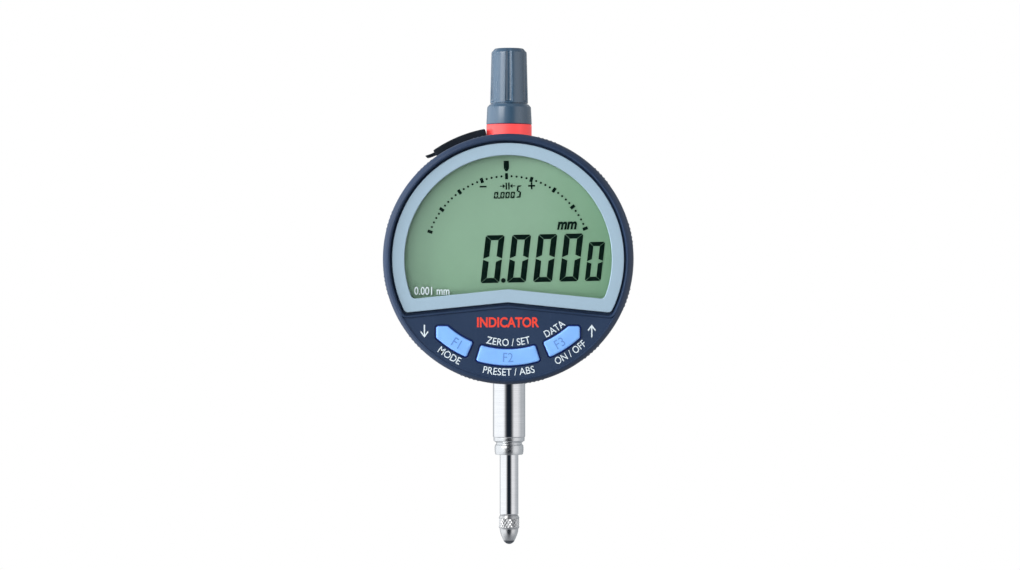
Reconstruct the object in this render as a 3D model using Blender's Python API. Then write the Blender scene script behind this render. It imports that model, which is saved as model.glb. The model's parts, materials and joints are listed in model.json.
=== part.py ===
"""Digital dial indicator with a turning display, a sprung spindle and an 8 mm stem.

The front faces -Y, the spindle runs along Z and +X is to the right of the front face.
The origin is on the spindle axis, halfway down the stem, where a holder clamps it.
Everything is placed from the dial's centre, which an empty carries above the origin.
"""
import math

import bmesh
import bpy
from mathutils import Matrix, Vector

MM = 0.001
GAP = 0.3 * MM

# Driving sizes, measured from the dial's centre.
CLAMP_DROP = 37.2 * MM
STEM_R = 4.0 * MM
SPINDLE_R = 2.3 * MM
BEZEL_R = 30.5 * MM
CASE_R = 29.6 * MM
WALL = 2.0 * MM

# Depths along Y, front to back.
LIP_Y = -16.5 * MM
FACE_Y = -16.2 * MM
BAND_Y = -15.8 * MM
LEDGE_Y = -14.6 * MM
PLATE_BACK_Y = -13.5 * MM
BOARD_Y = -10.3 * MM
BOARD_BACK_Y = -9.5 * MM
DISPLAY_BACK_Y = -6.6 * MM
CASE_FRONT_Y = -6.3 * MM
CASE_FLOOR_Y = -4.6 * MM
CASE_REAR_Y = 7.3 * MM
COVER_Y = 7.6 * MM
COVER_BACK_Y = 9.4 * MM

# The window: a circle cut off below by a shallow V.
WINDOW_R = 25.2 * MM
WINDOW_DROP = 7.35 * MM
BAND_R = 28.15 * MM
BAND_DROP = 10.55 * MM
RECESS_R = 28.8 * MM
RECESS_DROP = 11.5 * MM
GLASS_R = 26.2 * MM
GLASS_DROP = 8.35 * MM
V_SLOPE = 0.1007
CORNER_R = 1.0 * MM

# The keys lie on a ring round the dial's centre; angles are from straight down.
KEY_IN_R = 21.9 * MM
KEY_OUT_R = 25.9 * MM
KEY_MIDDLE = math.radians(17.5)
KEY_START = math.radians(22.9)
KEY_TOP_Z = -16.3 * MM
KEY_SIDE_X = 17.45 * MM
KEY_PROUD = 0.4 * MM
KEY_CLEARANCE = 0.35 * MM

# Inside the case.
HUB_R = 6.5 * MM
HUB_BORE = 4.3 * MM
STOP_R = 12.0 * MM
STOP_PIN_R = 1.0 * MM
STOP_RIB = math.radians(7.5)
SCREW_RING_DISPLAY = 26.6 * MM
SCREW_RING_CASE = 25.5 * MM
BATTERY_X = -18.0 * MM
BATTERY_Z = -6.0 * MM
BATTERY_R = 5.8 * MM
ARM_Z = -7.0 * MM
SPRING_X = -9.0 * MM
SPRING_LOW = -19.2 * MM
SPRING_HIGH = -8.5 * MM
STEM_TOP = -21.0 * MM
STEM_STEP = -43.0 * MM
STEM_END = -48.3 * MM
TIP_Z = -63.6 * MM
NECK_R = 3.9 * MM
NECK_TOP = 36.0 * MM
BUSH_IN = SPINDLE_R + GAP
BUSH_OUT = 3.1 * MM
BUSH_BORE = BUSH_OUT + GAP

# The data port and its cover, as angles from +X towards +Z.
PORT_START = math.radians(101.1)
PORT_END = math.radians(124.2)
PORT_TAB_END = math.radians(128.7)
PORT_OUT_R = 32.2 * MM
PORT_MID = (PORT_START + PORT_END) / 2
PORT_Y = 0.8 * MM

LUG_HOLE_Y = 15.2 * MM
LUG_R = 5.1 * MM
LUG_HOLE_R = 3.25 * MM
LUG_HALF = 2.5 * MM
LUG_BASE_Y = COVER_BACK_Y + GAP
LUG_SCREW_Z = 7.2 * MM

ROUND_LARGE = 48
ROUND_MEDIUM = 24
ROUND_SMALL = 10

# Colour (linear), roughness and metallic value of each material.
FINISHES = {
    "navy_plastic": ((0.028, 0.042, 0.085), 0.45, 0.0),
    "silver_plastic": ((0.34, 0.44, 0.54), 0.35, 0.3),
    "clear_plastic": ((0.85, 0.92, 0.88), 0.05, 0.0),
    "lcd_glass": ((0.24, 0.40, 0.29), 0.30, 0.0),
    "key_blue": ((0.27, 0.53, 1.0), 0.45, 0.0),
    "cap_grey": ((0.10, 0.16, 0.22), 0.40, 0.0),
    "signal_red": ((0.80, 0.06, 0.05), 0.45, 0.0),
    "black_rubber": ((0.010, 0.014, 0.020), 0.75, 0.0),
    "polished_steel": ((0.62, 0.63, 0.65), 0.15, 1.0),
    "spring_steel": ((0.45, 0.45, 0.47), 0.30, 1.0),
    "carbide": ((0.05, 0.06, 0.07), 0.12, 1.0),
    "bronze": ((0.55, 0.35, 0.14), 0.35, 1.0),
    "board_green": ((0.02, 0.14, 0.06), 0.50, 0.0),
    "chip_black": ((0.02, 0.02, 0.02), 0.50, 0.0),
    "amber_film": ((0.45, 0.20, 0.04), 0.40, 0.0),
    "scale_glass": ((0.55, 0.62, 0.60), 0.10, 0.0),
    "inner_plastic": ((0.05, 0.05, 0.05), 0.55, 0.0),
    "white_plastic": ((0.75, 0.75, 0.72), 0.50, 0.0),
}


def finish(name):
    """The material of one finish, made once."""
    material = bpy.data.materials.get(name)
    if material:
        return material
    colour, roughness, metallic = FINISHES[name]
    material = bpy.data.materials.new(name)
    material.use_nodes = True
    shader = material.node_tree.nodes["Principled BSDF"]
    shader.inputs["Base Color"].default_value = (*colour, 1.0)
    shader.inputs["Roughness"].default_value = roughness
    shader.inputs["Metallic"].default_value = metallic
    return material


def add_object(name, bm, material):
    """Put a bmesh into a new object under the dial's centre, with its faces outward."""
    bmesh.ops.remove_doubles(bm, verts=bm.verts, dist=1e-7)
    bmesh.ops.recalc_face_normals(bm, faces=bm.faces)
    mesh = bpy.data.meshes.new(name)
    bm.to_mesh(mesh)
    bm.free()
    obj = bpy.data.objects.new(name, mesh)
    bpy.context.collection.objects.link(obj)
    obj.parent = bpy.data.objects["dial_centre"]
    if material:
        mesh.materials.append(finish(material))
        mesh.shade_smooth()
        mesh.set_sharp_from_angle(angle=math.radians(35))
    return obj


def move_origin(obj, x, y, z):
    """Put an object's origin at a point, without moving its shape."""
    obj.data.transform(Matrix.Translation(Vector((-x, -y, -z))))
    obj.location = (x, y, z)
    return obj


def turned(name, profile, steps, axis="Z", centre=(0.0, 0.0), material=None):
    """Turn a closed (radius, height) profile round Z, or round Y with height along +Y.

    The axis passes through centre, which is (x, y) for Z and (x, z) for Y.
    """
    bm = bmesh.new()
    verts = [bm.verts.new((radius, 0.0, height)) for radius, height in profile]
    edges = [bm.edges.new((a, b)) for a, b in zip(verts, verts[1:] + verts[:1])]
    bmesh.ops.spin(bm, geom=verts + edges, cent=(0, 0, 0), axis=(0, 0, 1),
                   angle=2 * math.pi, steps=steps, use_merge=True)
    if axis == "Y":
        bmesh.ops.rotate(bm, verts=bm.verts, matrix=Matrix.Rotation(-math.pi / 2, 3, "X"))
        shift = (centre[0], 0.0, centre[1])
    else:
        shift = (centre[0], centre[1], 0.0)
    bmesh.ops.translate(bm, verts=bm.verts, vec=shift)
    bmesh.ops.remove_doubles(bm, verts=bm.verts, dist=1e-7)
    loose = [edge for edge in bm.edges if not edge.link_faces]
    bmesh.ops.delete(bm, geom=loose, context="EDGES")
    return add_object(name, bm, material)


def prism(name, outline, low, high, axis="Y", material=None):
    """Extrude an outline: (x, z) points along Y, (y, z) along X or (x, y) along Z."""
    place = {"Y": lambda u, v, h: (u, h, v),
             "X": lambda u, v, h: (h, u, v),
             "Z": lambda u, v, h: (u, v, h)}[axis]
    bm = bmesh.new()
    face = bm.faces.new([bm.verts.new(place(u, v, low)) for u, v in outline])
    grown = bmesh.ops.extrude_face_region(bm, geom=[face])["geom"]
    top = [item for item in grown if isinstance(item, bmesh.types.BMVert)]
    bmesh.ops.translate(bm, verts=top, vec=place(0.0, 0.0, high - low))
    return add_object(name, bm, material)


def box(name, low, high, material=None):
    """A box between two corners."""
    outline = [(low[0], low[2]), (high[0], low[2]), (high[0], high[2]), (low[0], high[2])]
    return prism(name, outline, low[1], high[1], "Y", material)


def rod(name, radius, low, high, axis="Y", centre=(0.0, 0.0), steps=ROUND_SMALL, material=None):
    """A plain cylinder."""
    profile = [(0.0, low), (radius, low), (radius, high), (0.0, high)]
    return turned(name, profile, steps, axis, centre, material)


def ring(name, inner, outer, low, high, axis="Y", steps=ROUND_MEDIUM, material=None):
    """A plain ring round the dial's or the spindle's axis."""
    profile = [(inner, low), (outer, low), (outer, high), (inner, high)]
    return turned(name, profile, steps, axis, (0.0, 0.0), material)


def stepped_hole(name, spot, heights, radii):
    """A cutter for a screw: a narrow bore along Y that widens to take the head."""
    low, step, high = heights
    narrow, wide = radii
    profile = [(0.0, low), (narrow, low), (narrow, step), (wide, step), (wide, high), (0.0, high)]
    return turned(name, profile, ROUND_SMALL, "Y", spot)


def combine(target, tool, operation):
    """Join a tool shape to a target, or cut it away, and hide the tool."""
    modifier = target.modifiers.new(tool.name, "BOOLEAN")
    modifier.operation = operation
    modifier.object = tool
    modifier.solver = "EXACT"
    tool.hide_render = True
    tool.display_type = "WIRE"
    tool.hide_set(True)


def cut(target, *tools):
    """Cut tool shapes away."""
    for tool in tools:
        combine(target, tool, "DIFFERENCE")


def join(target, *tools):
    """Join tool shapes on."""
    for tool in tools:
        combine(target, tool, "UNION")


def rounded(points, radii, steps=3):
    """A closed outline with an arc of the given radius at each corner that has one."""
    result = []
    count = len(points)
    for index, (point, radius) in enumerate(zip(points, radii)):
        if radius == 0:
            result.append(point)
            continue
        here = Vector(point)
        back = (Vector(points[index - 1]) - here).normalized()
        ahead = (Vector(points[(index + 1) % count]) - here).normalized()
        half = back.angle(ahead) / 2
        start = here + back * radius / math.tan(half)
        end = here + ahead * radius / math.tan(half)
        centre = here + (back + ahead).normalized() * radius / math.sin(half)
        for step in range(steps + 1):
            spoke = (start - centre).lerp(end - centre, step / steps).normalized()
            result.append(tuple(centre + spoke * radius))
    return result


def arc(radius, start, end, steps):
    """Points of an arc round the dial's centre, at angles from +X towards +Z."""
    angles = [start + (end - start) * step / steps for step in range(steps + 1)]
    return [(radius * math.cos(angle), radius * math.sin(angle)) for angle in angles]


def dee(radius, drop, steps=30):
    """A circle cut off below by a shallow V, whose two outer corners are rounded."""
    square = 1 + V_SLOPE ** 2
    root = math.sqrt((V_SLOPE * drop) ** 2 - square * (drop ** 2 - radius ** 2))
    corner_x = (root - V_SLOPE * drop) / square
    corner = math.atan2(-(drop + V_SLOPE * corner_x), corner_x)
    points = arc(radius, corner, math.pi - corner, steps)
    points.append((0.0, -drop))
    radii = [0.0] * len(points)
    radii[0] = CORNER_R
    radii[steps] = CORNER_R
    return rounded(points, radii)


def at_ring(radius, degrees):
    """A point at an angle on a ring round the dial's centre."""
    angle = math.radians(degrees)
    return radius * math.cos(angle), radius * math.sin(angle)


def middle_key_outline(grow):
    """A ring sector straight below the centre, grown outward by a margin."""
    half = KEY_MIDDLE + grow / KEY_OUT_R
    down = -math.pi / 2
    inner = arc(KEY_IN_R - grow, down + half, down - half, 7)
    outer = arc(KEY_OUT_R + grow, down - half, down + half, 7)
    radii = [0.0] * (len(inner) + len(outer))
    for index in (0, len(inner) - 1, len(inner), -1):
        radii[index] = 0.5 * MM + grow
    return rounded(inner + outer, radii, 3)


def side_key_outline(side, grow):
    """A ring sector cut off level above and upright outside; side is -1 or 1."""
    start = KEY_START - grow / KEY_OUT_R
    level = KEY_TOP_Z + grow
    upright = KEY_SIDE_X + grow
    inner_end = math.acos(-level / (KEY_IN_R - grow))
    outer_end = math.asin(upright / (KEY_OUT_R + grow))
    down = -math.pi / 2
    inner = arc(KEY_IN_R - grow, down + start, down + inner_end, 4)
    outer = arc(KEY_OUT_R + grow, down + outer_end, down + start, 4)
    points = inner + [(upright, level)] + outer
    radii = [0.0] * len(points)
    for index in (0, len(inner), len(inner) + 1, -1):
        radii[index] = 0.5 * MM + grow
    return [(side * x, z) for x, z in rounded(points, radii, 3)]


KEY_OUTLINES = {
    "left": lambda grow: side_key_outline(-1, grow),
    "middle": middle_key_outline,
    "right": lambda grow: side_key_outline(1, grow),
}
KEY_CENTRES = {
    "left": at_ring(23.9 * MM, -122.5),
    "middle": at_ring(23.9 * MM, -90.0),
    "right": at_ring(23.9 * MM, -57.5),
}
DISPLAY_SCREW_ANGLES = (40, 140, 210, 330)
CASE_SCREW_ANGLES = (45, 135, 225, 315)


def make_display_housing():
    """The turning front shell: face plate, raised lip, bevel and rim."""
    profile = [(0.0, FACE_Y), (28.95 * MM, FACE_Y), (29.05 * MM, LIP_Y), (29.3 * MM, LIP_Y),
               (29.8 * MM, -16.1 * MM), (30.3 * MM, -15.2 * MM), (BEZEL_R, -14.4 * MM),
               (BEZEL_R, DISPLAY_BACK_Y), (BEZEL_R - WALL, DISPLAY_BACK_Y),
               (BEZEL_R - WALL, PLATE_BACK_Y), (0.0, PLATE_BACK_Y)]
    shell = turned("display_housing", profile, ROUND_LARGE, "Y", material="navy_plastic")
    for number, degrees in enumerate(DISPLAY_SCREW_ANGLES, 1):
        spot = at_ring(SCREW_RING_DISPLAY, degrees)
        boss = rod(f"tool_boss_{number}", 2.05 * MM, BOARD_Y, -8.5 * MM, "Y", spot)
        hole = rod(f"tool_boss_hole_{number}", 0.8 * MM, -11 * MM, -8 * MM, "Y", spot)
        join(shell, boss)
        cut(shell, hole)
    cut(shell,
        prism("tool_recess", dee(RECESS_R, RECESS_DROP), -17 * MM, LEDGE_Y),
        prism("tool_window", dee(GLASS_R + GAP, GLASS_DROP + GAP), -15 * MM, -13 * MM))
    for key, outline in KEY_OUTLINES.items():
        cut(shell, prism(f"tool_key_{key}", outline(KEY_CLEARANCE), -17 * MM, -13 * MM))


def make_window():
    """The silver frame, the clear lens and the display stack behind it."""
    frame = prism("window_frame", dee(BAND_R, BAND_DROP), BAND_Y, -14.9 * MM,
                  material="silver_plastic")
    cut(frame, prism("tool_frame_window", dee(WINDOW_R, WINDOW_DROP), -17 * MM, -14 * MM))
    glass = dee(GLASS_R, GLASS_DROP)
    prism("window_lens", glass, LEDGE_Y, -13.8 * MM, material="clear_plastic")
    prism("lcd_panel", glass, PLATE_BACK_Y, -12.1 * MM, material="lcd_glass")
    prism("light_guide", dee(GLASS_R, 6.6 * MM), -11.8 * MM, -10.6 * MM,
          material="white_plastic")
    reach = 20 * MM
    upper = 7.0 * MM
    lower = GLASS_DROP
    fall = V_SLOPE * reach
    strip = [(-reach, -lower - fall), (0.0, -lower), (reach, -lower - fall),
             (reach, -upper - fall), (0.0, -upper), (-reach, -upper - fall)]
    prism("lcd_connector", strip, -11.8 * MM, -10.6 * MM, material="black_rubber")


def make_main_board():
    """The round circuit board with its chip, its lead socket and the key domes."""
    board = rod("main_board", 27.9 * MM, BOARD_Y, BOARD_BACK_Y, steps=ROUND_LARGE,
                material="board_green")
    for number, degrees in enumerate(DISPLAY_SCREW_ANGLES, 1):
        spot = at_ring(SCREW_RING_DISPLAY, degrees)
        cut(board, rod(f"tool_notch_{number}", 2.4 * MM, -11 * MM, -9 * MM, "Y", spot))
    box("controller_chip", (10 * MM, -9.2 * MM, 8 * MM), (17 * MM, -8.5 * MM, 15 * MM),
        "chip_black")
    box("lead_socket", (-2.3 * MM, -9.2 * MM, -0.8 * MM), (2.3 * MM, -8.6 * MM, 0.8 * MM),
        "white_plastic")
    profile = [(0.0, -10.9 * MM), (0.9 * MM, -10.85 * MM), (1.6 * MM, -10.6 * MM),
               (1.6 * MM, -10.55 * MM), (0.0, -10.55 * MM)]
    for key, centre in KEY_CENTRES.items():
        turned(f"dome_{key}", profile, ROUND_SMALL, "Y", centre, "spring_steel")


def make_keys():
    """The three keys: a cap that stands proud, a flange behind the plate and a post."""
    for key, outline in KEY_OUTLINES.items():
        centre = KEY_CENTRES[key]
        cap = prism(f"key_{key}", outline(0.0), FACE_Y - KEY_PROUD, -12.9 * MM,
                    material="key_blue")
        flange = prism(f"tool_flange_{key}", outline(0.8 * MM), -13.2 * MM, -12.6 * MM)
        post = rod(f"tool_post_{key}", 1.0 * MM, -12.8 * MM, -11.6 * MM, "Y", centre)
        for piece in (cap, flange, post):
            move_origin(piece, centre[0], 0.0, centre[1])
        join(cap, flange, post)


def make_display_back():
    """The plate that closes the display, its stop groove and its four screws."""
    inner = HUB_R + GAP
    outer = 28.2 * MM
    front = -8.2 * MM
    floor = -7.5 * MM
    reach = STOP_PIN_R + GAP
    profile = [(inner, front), (outer, front), (outer, DISPLAY_BACK_Y),
               (STOP_R + reach, DISPLAY_BACK_Y), (STOP_R + reach, floor),
               (STOP_R - reach, floor), (STOP_R - reach, DISPLAY_BACK_Y),
               (inner, DISPLAY_BACK_Y)]
    plate = turned("display_back", profile, ROUND_LARGE, "Y", material="navy_plastic")
    up = math.pi / 2
    wide = reach + 0.2 * MM
    rib = (arc(STOP_R - wide, up - STOP_RIB, up + STOP_RIB, 3)
           + arc(STOP_R + wide, up + STOP_RIB, up - STOP_RIB, 3))
    join(plate, prism("tool_stop_rib", rib, -7.8 * MM, DISPLAY_BACK_Y - 0.1 * MM))
    profile = [(0.0, -10.2 * MM), (0.5 * MM, -10.2 * MM), (0.5 * MM, -7.3 * MM),
               (1.2 * MM, -7.3 * MM), (1.2 * MM, -6.7 * MM), (0.0, -6.7 * MM)]
    for number, degrees in enumerate(DISPLAY_SCREW_ANGLES, 1):
        spot = at_ring(SCREW_RING_DISPLAY - 0.1 * MM, degrees)
        cut(plate, stepped_hole(f"tool_plate_hole_{number}", spot, (-9 * MM, -7.6 * MM, -6 * MM),
                                (0.8 * MM, 1.5 * MM)))
        turned(f"display_screw_{number}", profile, ROUND_SMALL, "Y", spot, "spring_steel")


def port_block(name, half_width, half_depth, low, high, material=None):
    """A block at the data port: along the rim, along Y and between two radii."""
    outline = [(-half_depth + PORT_Y, -half_width), (half_depth + PORT_Y, -half_width),
               (half_depth + PORT_Y, half_width), (-half_depth + PORT_Y, half_width)]
    piece = prism(name, outline, low, high, "X", material)
    piece.data.transform(Matrix.Rotation(-PORT_MID, 4, "Y"))
    return piece


def make_rear_case():
    """The fixed rear case: cup, hub, stem boss, cap neck, screw bosses and stop pin."""
    profile = [(HUB_BORE, -8.2 * MM), (HUB_R, -8.2 * MM), (HUB_R, CASE_FRONT_Y),
               (25.9 * MM, CASE_FRONT_Y), (25.9 * MM, -5.5 * MM), (27.3 * MM, -5.5 * MM),
               (27.3 * MM, CASE_FRONT_Y), (29.1 * MM, CASE_FRONT_Y), (CASE_R, -5.8 * MM),
               (CASE_R, CASE_REAR_Y), (29.15 * MM, CASE_REAR_Y), (29.15 * MM, 6.3 * MM),
               (28.05 * MM, 6.3 * MM), (28.05 * MM, CASE_REAR_Y),
               (CASE_R - WALL, CASE_REAR_Y), (CASE_R - WALL, CASE_FLOOR_Y),
               (HUB_BORE, CASE_FLOOR_Y)]
    case = turned("rear_case", profile, ROUND_LARGE, "Y", material="navy_plastic")
    join(case,
         box("tool_stem_boss", (-6.5 * MM, -5.0 * MM, -28.6 * MM), (6.5 * MM, 6.0 * MM, -20.7 * MM)),
         rod("tool_pad", 5.3 * MM, 26.4 * MM, 30.1 * MM, "Z", steps=ROUND_MEDIUM),
         rod("tool_neck", NECK_R, 28.0 * MM, NECK_TOP, "Z", steps=ROUND_MEDIUM),
         rod("tool_stop_pin", STOP_PIN_R, -7.2 * MM, -6.0 * MM, "Y", (0.0, -STOP_R)))
    for number, degrees in enumerate(CASE_SCREW_ANGLES, 1):
        spot = at_ring(SCREW_RING_CASE, degrees)
        join(case, rod(f"tool_case_boss_{number}", 2.2 * MM, -5 * MM, 7.1 * MM, "Y", spot))
        cut(case, rod(f"tool_case_hole_{number}", 0.9 * MM, 0.0, 8 * MM, "Y", spot))
    cut(case,
        rod("tool_stem_bore", STEM_R + GAP, -32 * MM, -20 * MM, "Z", steps=ROUND_MEDIUM),
        rod("tool_neck_bore", BUSH_BORE, 24 * MM, 37 * MM, "Z", steps=ROUND_MEDIUM),
        port_block("tool_port", 4.7 * MM, 1.65 * MM, 24 * MM, 31 * MM))


def make_turn_bearing():
    """What holds the display on the hub: the seal and the retaining ring."""
    ring("turn_seal", 26.2 * MM, 27.0 * MM, CASE_FRONT_Y, -5.8 * MM, steps=ROUND_LARGE,
         material="black_rubber")
    bore = 3.2 * MM
    sleeve = HUB_BORE - GAP
    profile = [(bore, -9.2 * MM), (8.0 * MM, -9.2 * MM), (8.0 * MM, -8.5 * MM),
               (sleeve, -8.5 * MM), (sleeve, -5.2 * MM), (bore, -5.2 * MM)]
    turned("hub_retainer", profile, ROUND_MEDIUM, "Y", material="spring_steel")


def make_sensor():
    """The fixed sensor board in front of the scale, its chip and its flat lead."""
    box("sensor_board", (-7 * MM, -4.3 * MM, -3 * MM), (7 * MM, -3.7 * MM, 24 * MM),
        "board_green")
    box("signal_chip", (3.8 * MM, -3.4 * MM, 14 * MM), (6.8 * MM, -2.6 * MM, 18 * MM),
        "chip_black")
    box("flex_lead", (-2 * MM, -8.3 * MM, -0.15 * MM), (2 * MM, -4.6 * MM, 0.15 * MM),
        "amber_film")


def make_stem():
    """The 8 mm clamping stem with its end groove, bush and wiper."""
    profile = [(BUSH_BORE, STEM_TOP), (STEM_R, STEM_TOP), (STEM_R, -43.9 * MM),
               (3.8 * MM, -44.3 * MM), (3.8 * MM, -45.0 * MM), (3.15 * MM, -45.4 * MM),
               (3.15 * MM, -46.3 * MM), (3.45 * MM, -46.5 * MM), (3.53 * MM, -46.9 * MM),
               (3.53 * MM, -47.7 * MM), (3.35 * MM, STEM_END), (BUSH_IN, STEM_END),
               (BUSH_IN, STEM_STEP), (BUSH_BORE, STEM_STEP)]
    turned("stem", profile, ROUND_MEDIUM, material="polished_steel")
    wiper_low = STEM_STEP + GAP
    wiper_high = wiper_low + 1.0 * MM
    ring("stem_wiper", BUSH_IN, BUSH_OUT, wiper_low, wiper_high, "Z", material="black_rubber")
    ring("lower_bush", BUSH_IN, BUSH_OUT, wiper_high + GAP, -31 * MM, "Z", material="bronze")
    ring("upper_bush", BUSH_IN, BUSH_OUT, 27 * MM, 35.5 * MM, "Z", material="bronze")


def make_spindle():
    """The sliding spindle with its screwed-in contact point and its ball."""
    thread_r = 1.1 * MM
    socket_r = thread_r + GAP
    socket_top = TIP_Z + 5.5 * MM
    profile = [(socket_r, TIP_Z + GAP), (SPINDLE_R - 0.2 * MM, TIP_Z + GAP),
               (SPINDLE_R, TIP_Z + 0.6 * MM), (SPINDLE_R, 36.7 * MM), (2.0 * MM, 37.0 * MM),
               (0.0, 37.0 * MM), (0.0, socket_top), (socket_r, socket_top)]
    turned("spindle", profile, ROUND_MEDIUM, material="polished_steel")
    point = [(0.0, TIP_Z + 5.0 * MM), (thread_r, TIP_Z + 5.0 * MM), (thread_r, TIP_Z),
             (2.3 * MM, TIP_Z), (2.55 * MM, -64.0 * MM), (2.55 * MM, -66.3 * MM),
             (2.25 * MM, -66.7 * MM), (1.3 * MM, -69.7 * MM), (1.05 * MM, -69.7 * MM),
             (1.05 * MM, -68.0 * MM), (0.0, -68.0 * MM)]
    turned("contact_point", point, 16, material="polished_steel")
    ball_r = 1.5 * MM
    ball_z = -69.0 * MM
    lats = [math.radians(-90 + 12 * step) for step in range(4)]
    ball = [(ball_r * math.cos(lat), ball_z + ball_r * math.sin(lat)) for lat in lats]
    ball[0] = (0.0, ball_z - ball_r)
    ball += [(0.75 * MM, ball[-1][1]), (0.75 * MM, -68.3 * MM), (0.0, -68.3 * MM)]
    turned("contact_ball", ball, 16, material="carbide")


def make_spindle_fittings():
    """The arm clamped on the spindle, the anti-turn pin and rail, and the scale."""
    half = 3.0 * MM
    arm = box("spindle_arm", (-4 * MM, -3.3 * MM, ARM_Z - half), (4 * MM, 3.3 * MM, ARM_Z + half),
              "inner_plastic")
    join(arm, box("tool_arm_reach", (-10.5 * MM, -1.2 * MM, ARM_Z - 1.2 * MM),
                  (-3.8 * MM, 1.2 * MM, ARM_Z + 1.2 * MM)))
    cut(arm, rod("tool_arm_bore", BUSH_IN, -12 * MM, 0.0, "Z", steps=ROUND_MEDIUM))
    pin_r = 1.2 * MM
    steps = [2 * math.pi * step / ROUND_SMALL for step in range(ROUND_SMALL)]
    circle = [(pin_r * math.cos(turn), ARM_Z + pin_r * math.sin(turn)) for turn in steps]
    prism("guide_pin", circle, 4.3 * MM, 12.2 * MM, "X", "polished_steel")
    rail = box("guide_rail", (9.5 * MM, -4.3 * MM, -12 * MM), (13.8 * MM, 2.9 * MM, 14 * MM),
               "inner_plastic")
    cut(rail, box("tool_rail_slot", (9 * MM, -1.5 * MM, -13 * MM), (12.5 * MM, 1.5 * MM, 15 * MM)))
    box("scale_bar", (-3.2 * MM, -3.4 * MM, -3.7 * MM), (3.2 * MM, -2.6 * MM, 13 * MM),
        "scale_glass")


def make_return_spring():
    """A coil tension spring between the arm and an anchor post on the case."""
    turns = 6
    per_turn = 10
    sides = 4
    wire_r = 0.22 * MM
    coil_r = 1.4 * MM
    low = SPRING_LOW + wire_r
    high = SPRING_HIGH - wire_r
    count = turns * per_turn
    bm = bmesh.new()
    rings = []
    for step in range(count + 1):
        turn = 2 * math.pi * step / per_turn
        outward = Vector((math.cos(turn), math.sin(turn), 0.0))
        height = low + (high - low) * step / count
        centre = outward * coil_r + Vector((SPRING_X, 0.0, height))
        loop = []
        for side in range(sides):
            around = 2 * math.pi * side / sides
            offset = outward * math.cos(around) + Vector((0.0, 0.0, math.sin(around)))
            loop.append(bm.verts.new(centre + offset * wire_r))
        rings.append(loop)
    for first, second in zip(rings, rings[1:]):
        for side in range(sides):
            other = (side + 1) % sides
            bm.faces.new((first[side], first[other], second[other], second[side]))
    bm.faces.new(rings[0])
    bm.faces.new(rings[-1])
    add_object("return_spring", bm, "spring_steel")
    rod("spring_anchor", 0.9 * MM, CASE_FLOOR_Y + GAP, 1.8 * MM, "Y",
        (SPRING_X, SPRING_LOW - 1.2 * MM), material="spring_steel")


def make_spindle_cap():
    """The fluted cap over the spindle's upper end and the red ring under it."""
    ring("cap_ring", NECK_R + GAP, 5.6 * MM, 30.4 * MM, 33.1 * MM, "Z", material="signal_red")
    bore = 3.0 * MM
    neck = NECK_R + GAP
    profile = [(neck, 33.4 * MM), (5.63 * MM, 33.4 * MM), (5.37 * MM, 37.6 * MM),
               (4.67 * MM, 38.4 * MM), (4.36 * MM, 51.3 * MM), (3.48 * MM, 52.2 * MM),
               (0.0, 52.2 * MM), (0.0, 50.6 * MM), (bore, 50.6 * MM), (bore, 37.0 * MM),
               (neck, 36.6 * MM)]
    cap = turned("spindle_cap", profile, ROUND_MEDIUM, material="cap_grey")
    for number in range(6):
        spot = at_ring(5.05 * MM, 90 + 60 * number)
        cut(cap, rod(f"tool_flute_{number}", 0.65 * MM, 39.6 * MM, 53 * MM, "Z", spot, 8))


def make_back_cover():
    """The plate that closes the case, its seal and its four screws."""
    cover = rod("back_cover", CASE_R, COVER_Y, COVER_BACK_Y, steps=ROUND_LARGE,
                material="navy_plastic")
    ring("case_seal", 28.35 * MM, 28.85 * MM, 6.6 * MM, CASE_REAR_Y, steps=ROUND_LARGE,
         material="black_rubber")
    profile = [(0.0, 0.5 * MM), (0.6 * MM, 0.5 * MM), (0.6 * MM, 8.6 * MM),
               (1.6 * MM, 8.6 * MM), (1.6 * MM, 9.3 * MM), (0.0, 9.3 * MM)]
    for number, degrees in enumerate(CASE_SCREW_ANGLES, 1):
        spot = at_ring(SCREW_RING_CASE, degrees)
        cut(cover, stepped_hole(f"tool_cover_hole_{number}", spot, (7 * MM, 8.3 * MM, 10 * MM),
                                (0.9 * MM, 1.9 * MM)))
        turned(f"cover_screw_{number}", profile, ROUND_SMALL, "Y", spot, "spring_steel")
    cut(cover, rod("tool_battery_opening", 6.6 * MM, 7 * MM, 10 * MM, "Y",
                   (BATTERY_X, BATTERY_Z), ROUND_MEDIUM))
    for number, side in enumerate((-1, 1), 1):
        spot = (0.0, side * LUG_SCREW_Z)
        cut(cover, rod(f"tool_cover_lug_hole_{number}", 1.2 * MM, 7 * MM, 10 * MM, "Y", spot))


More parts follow.
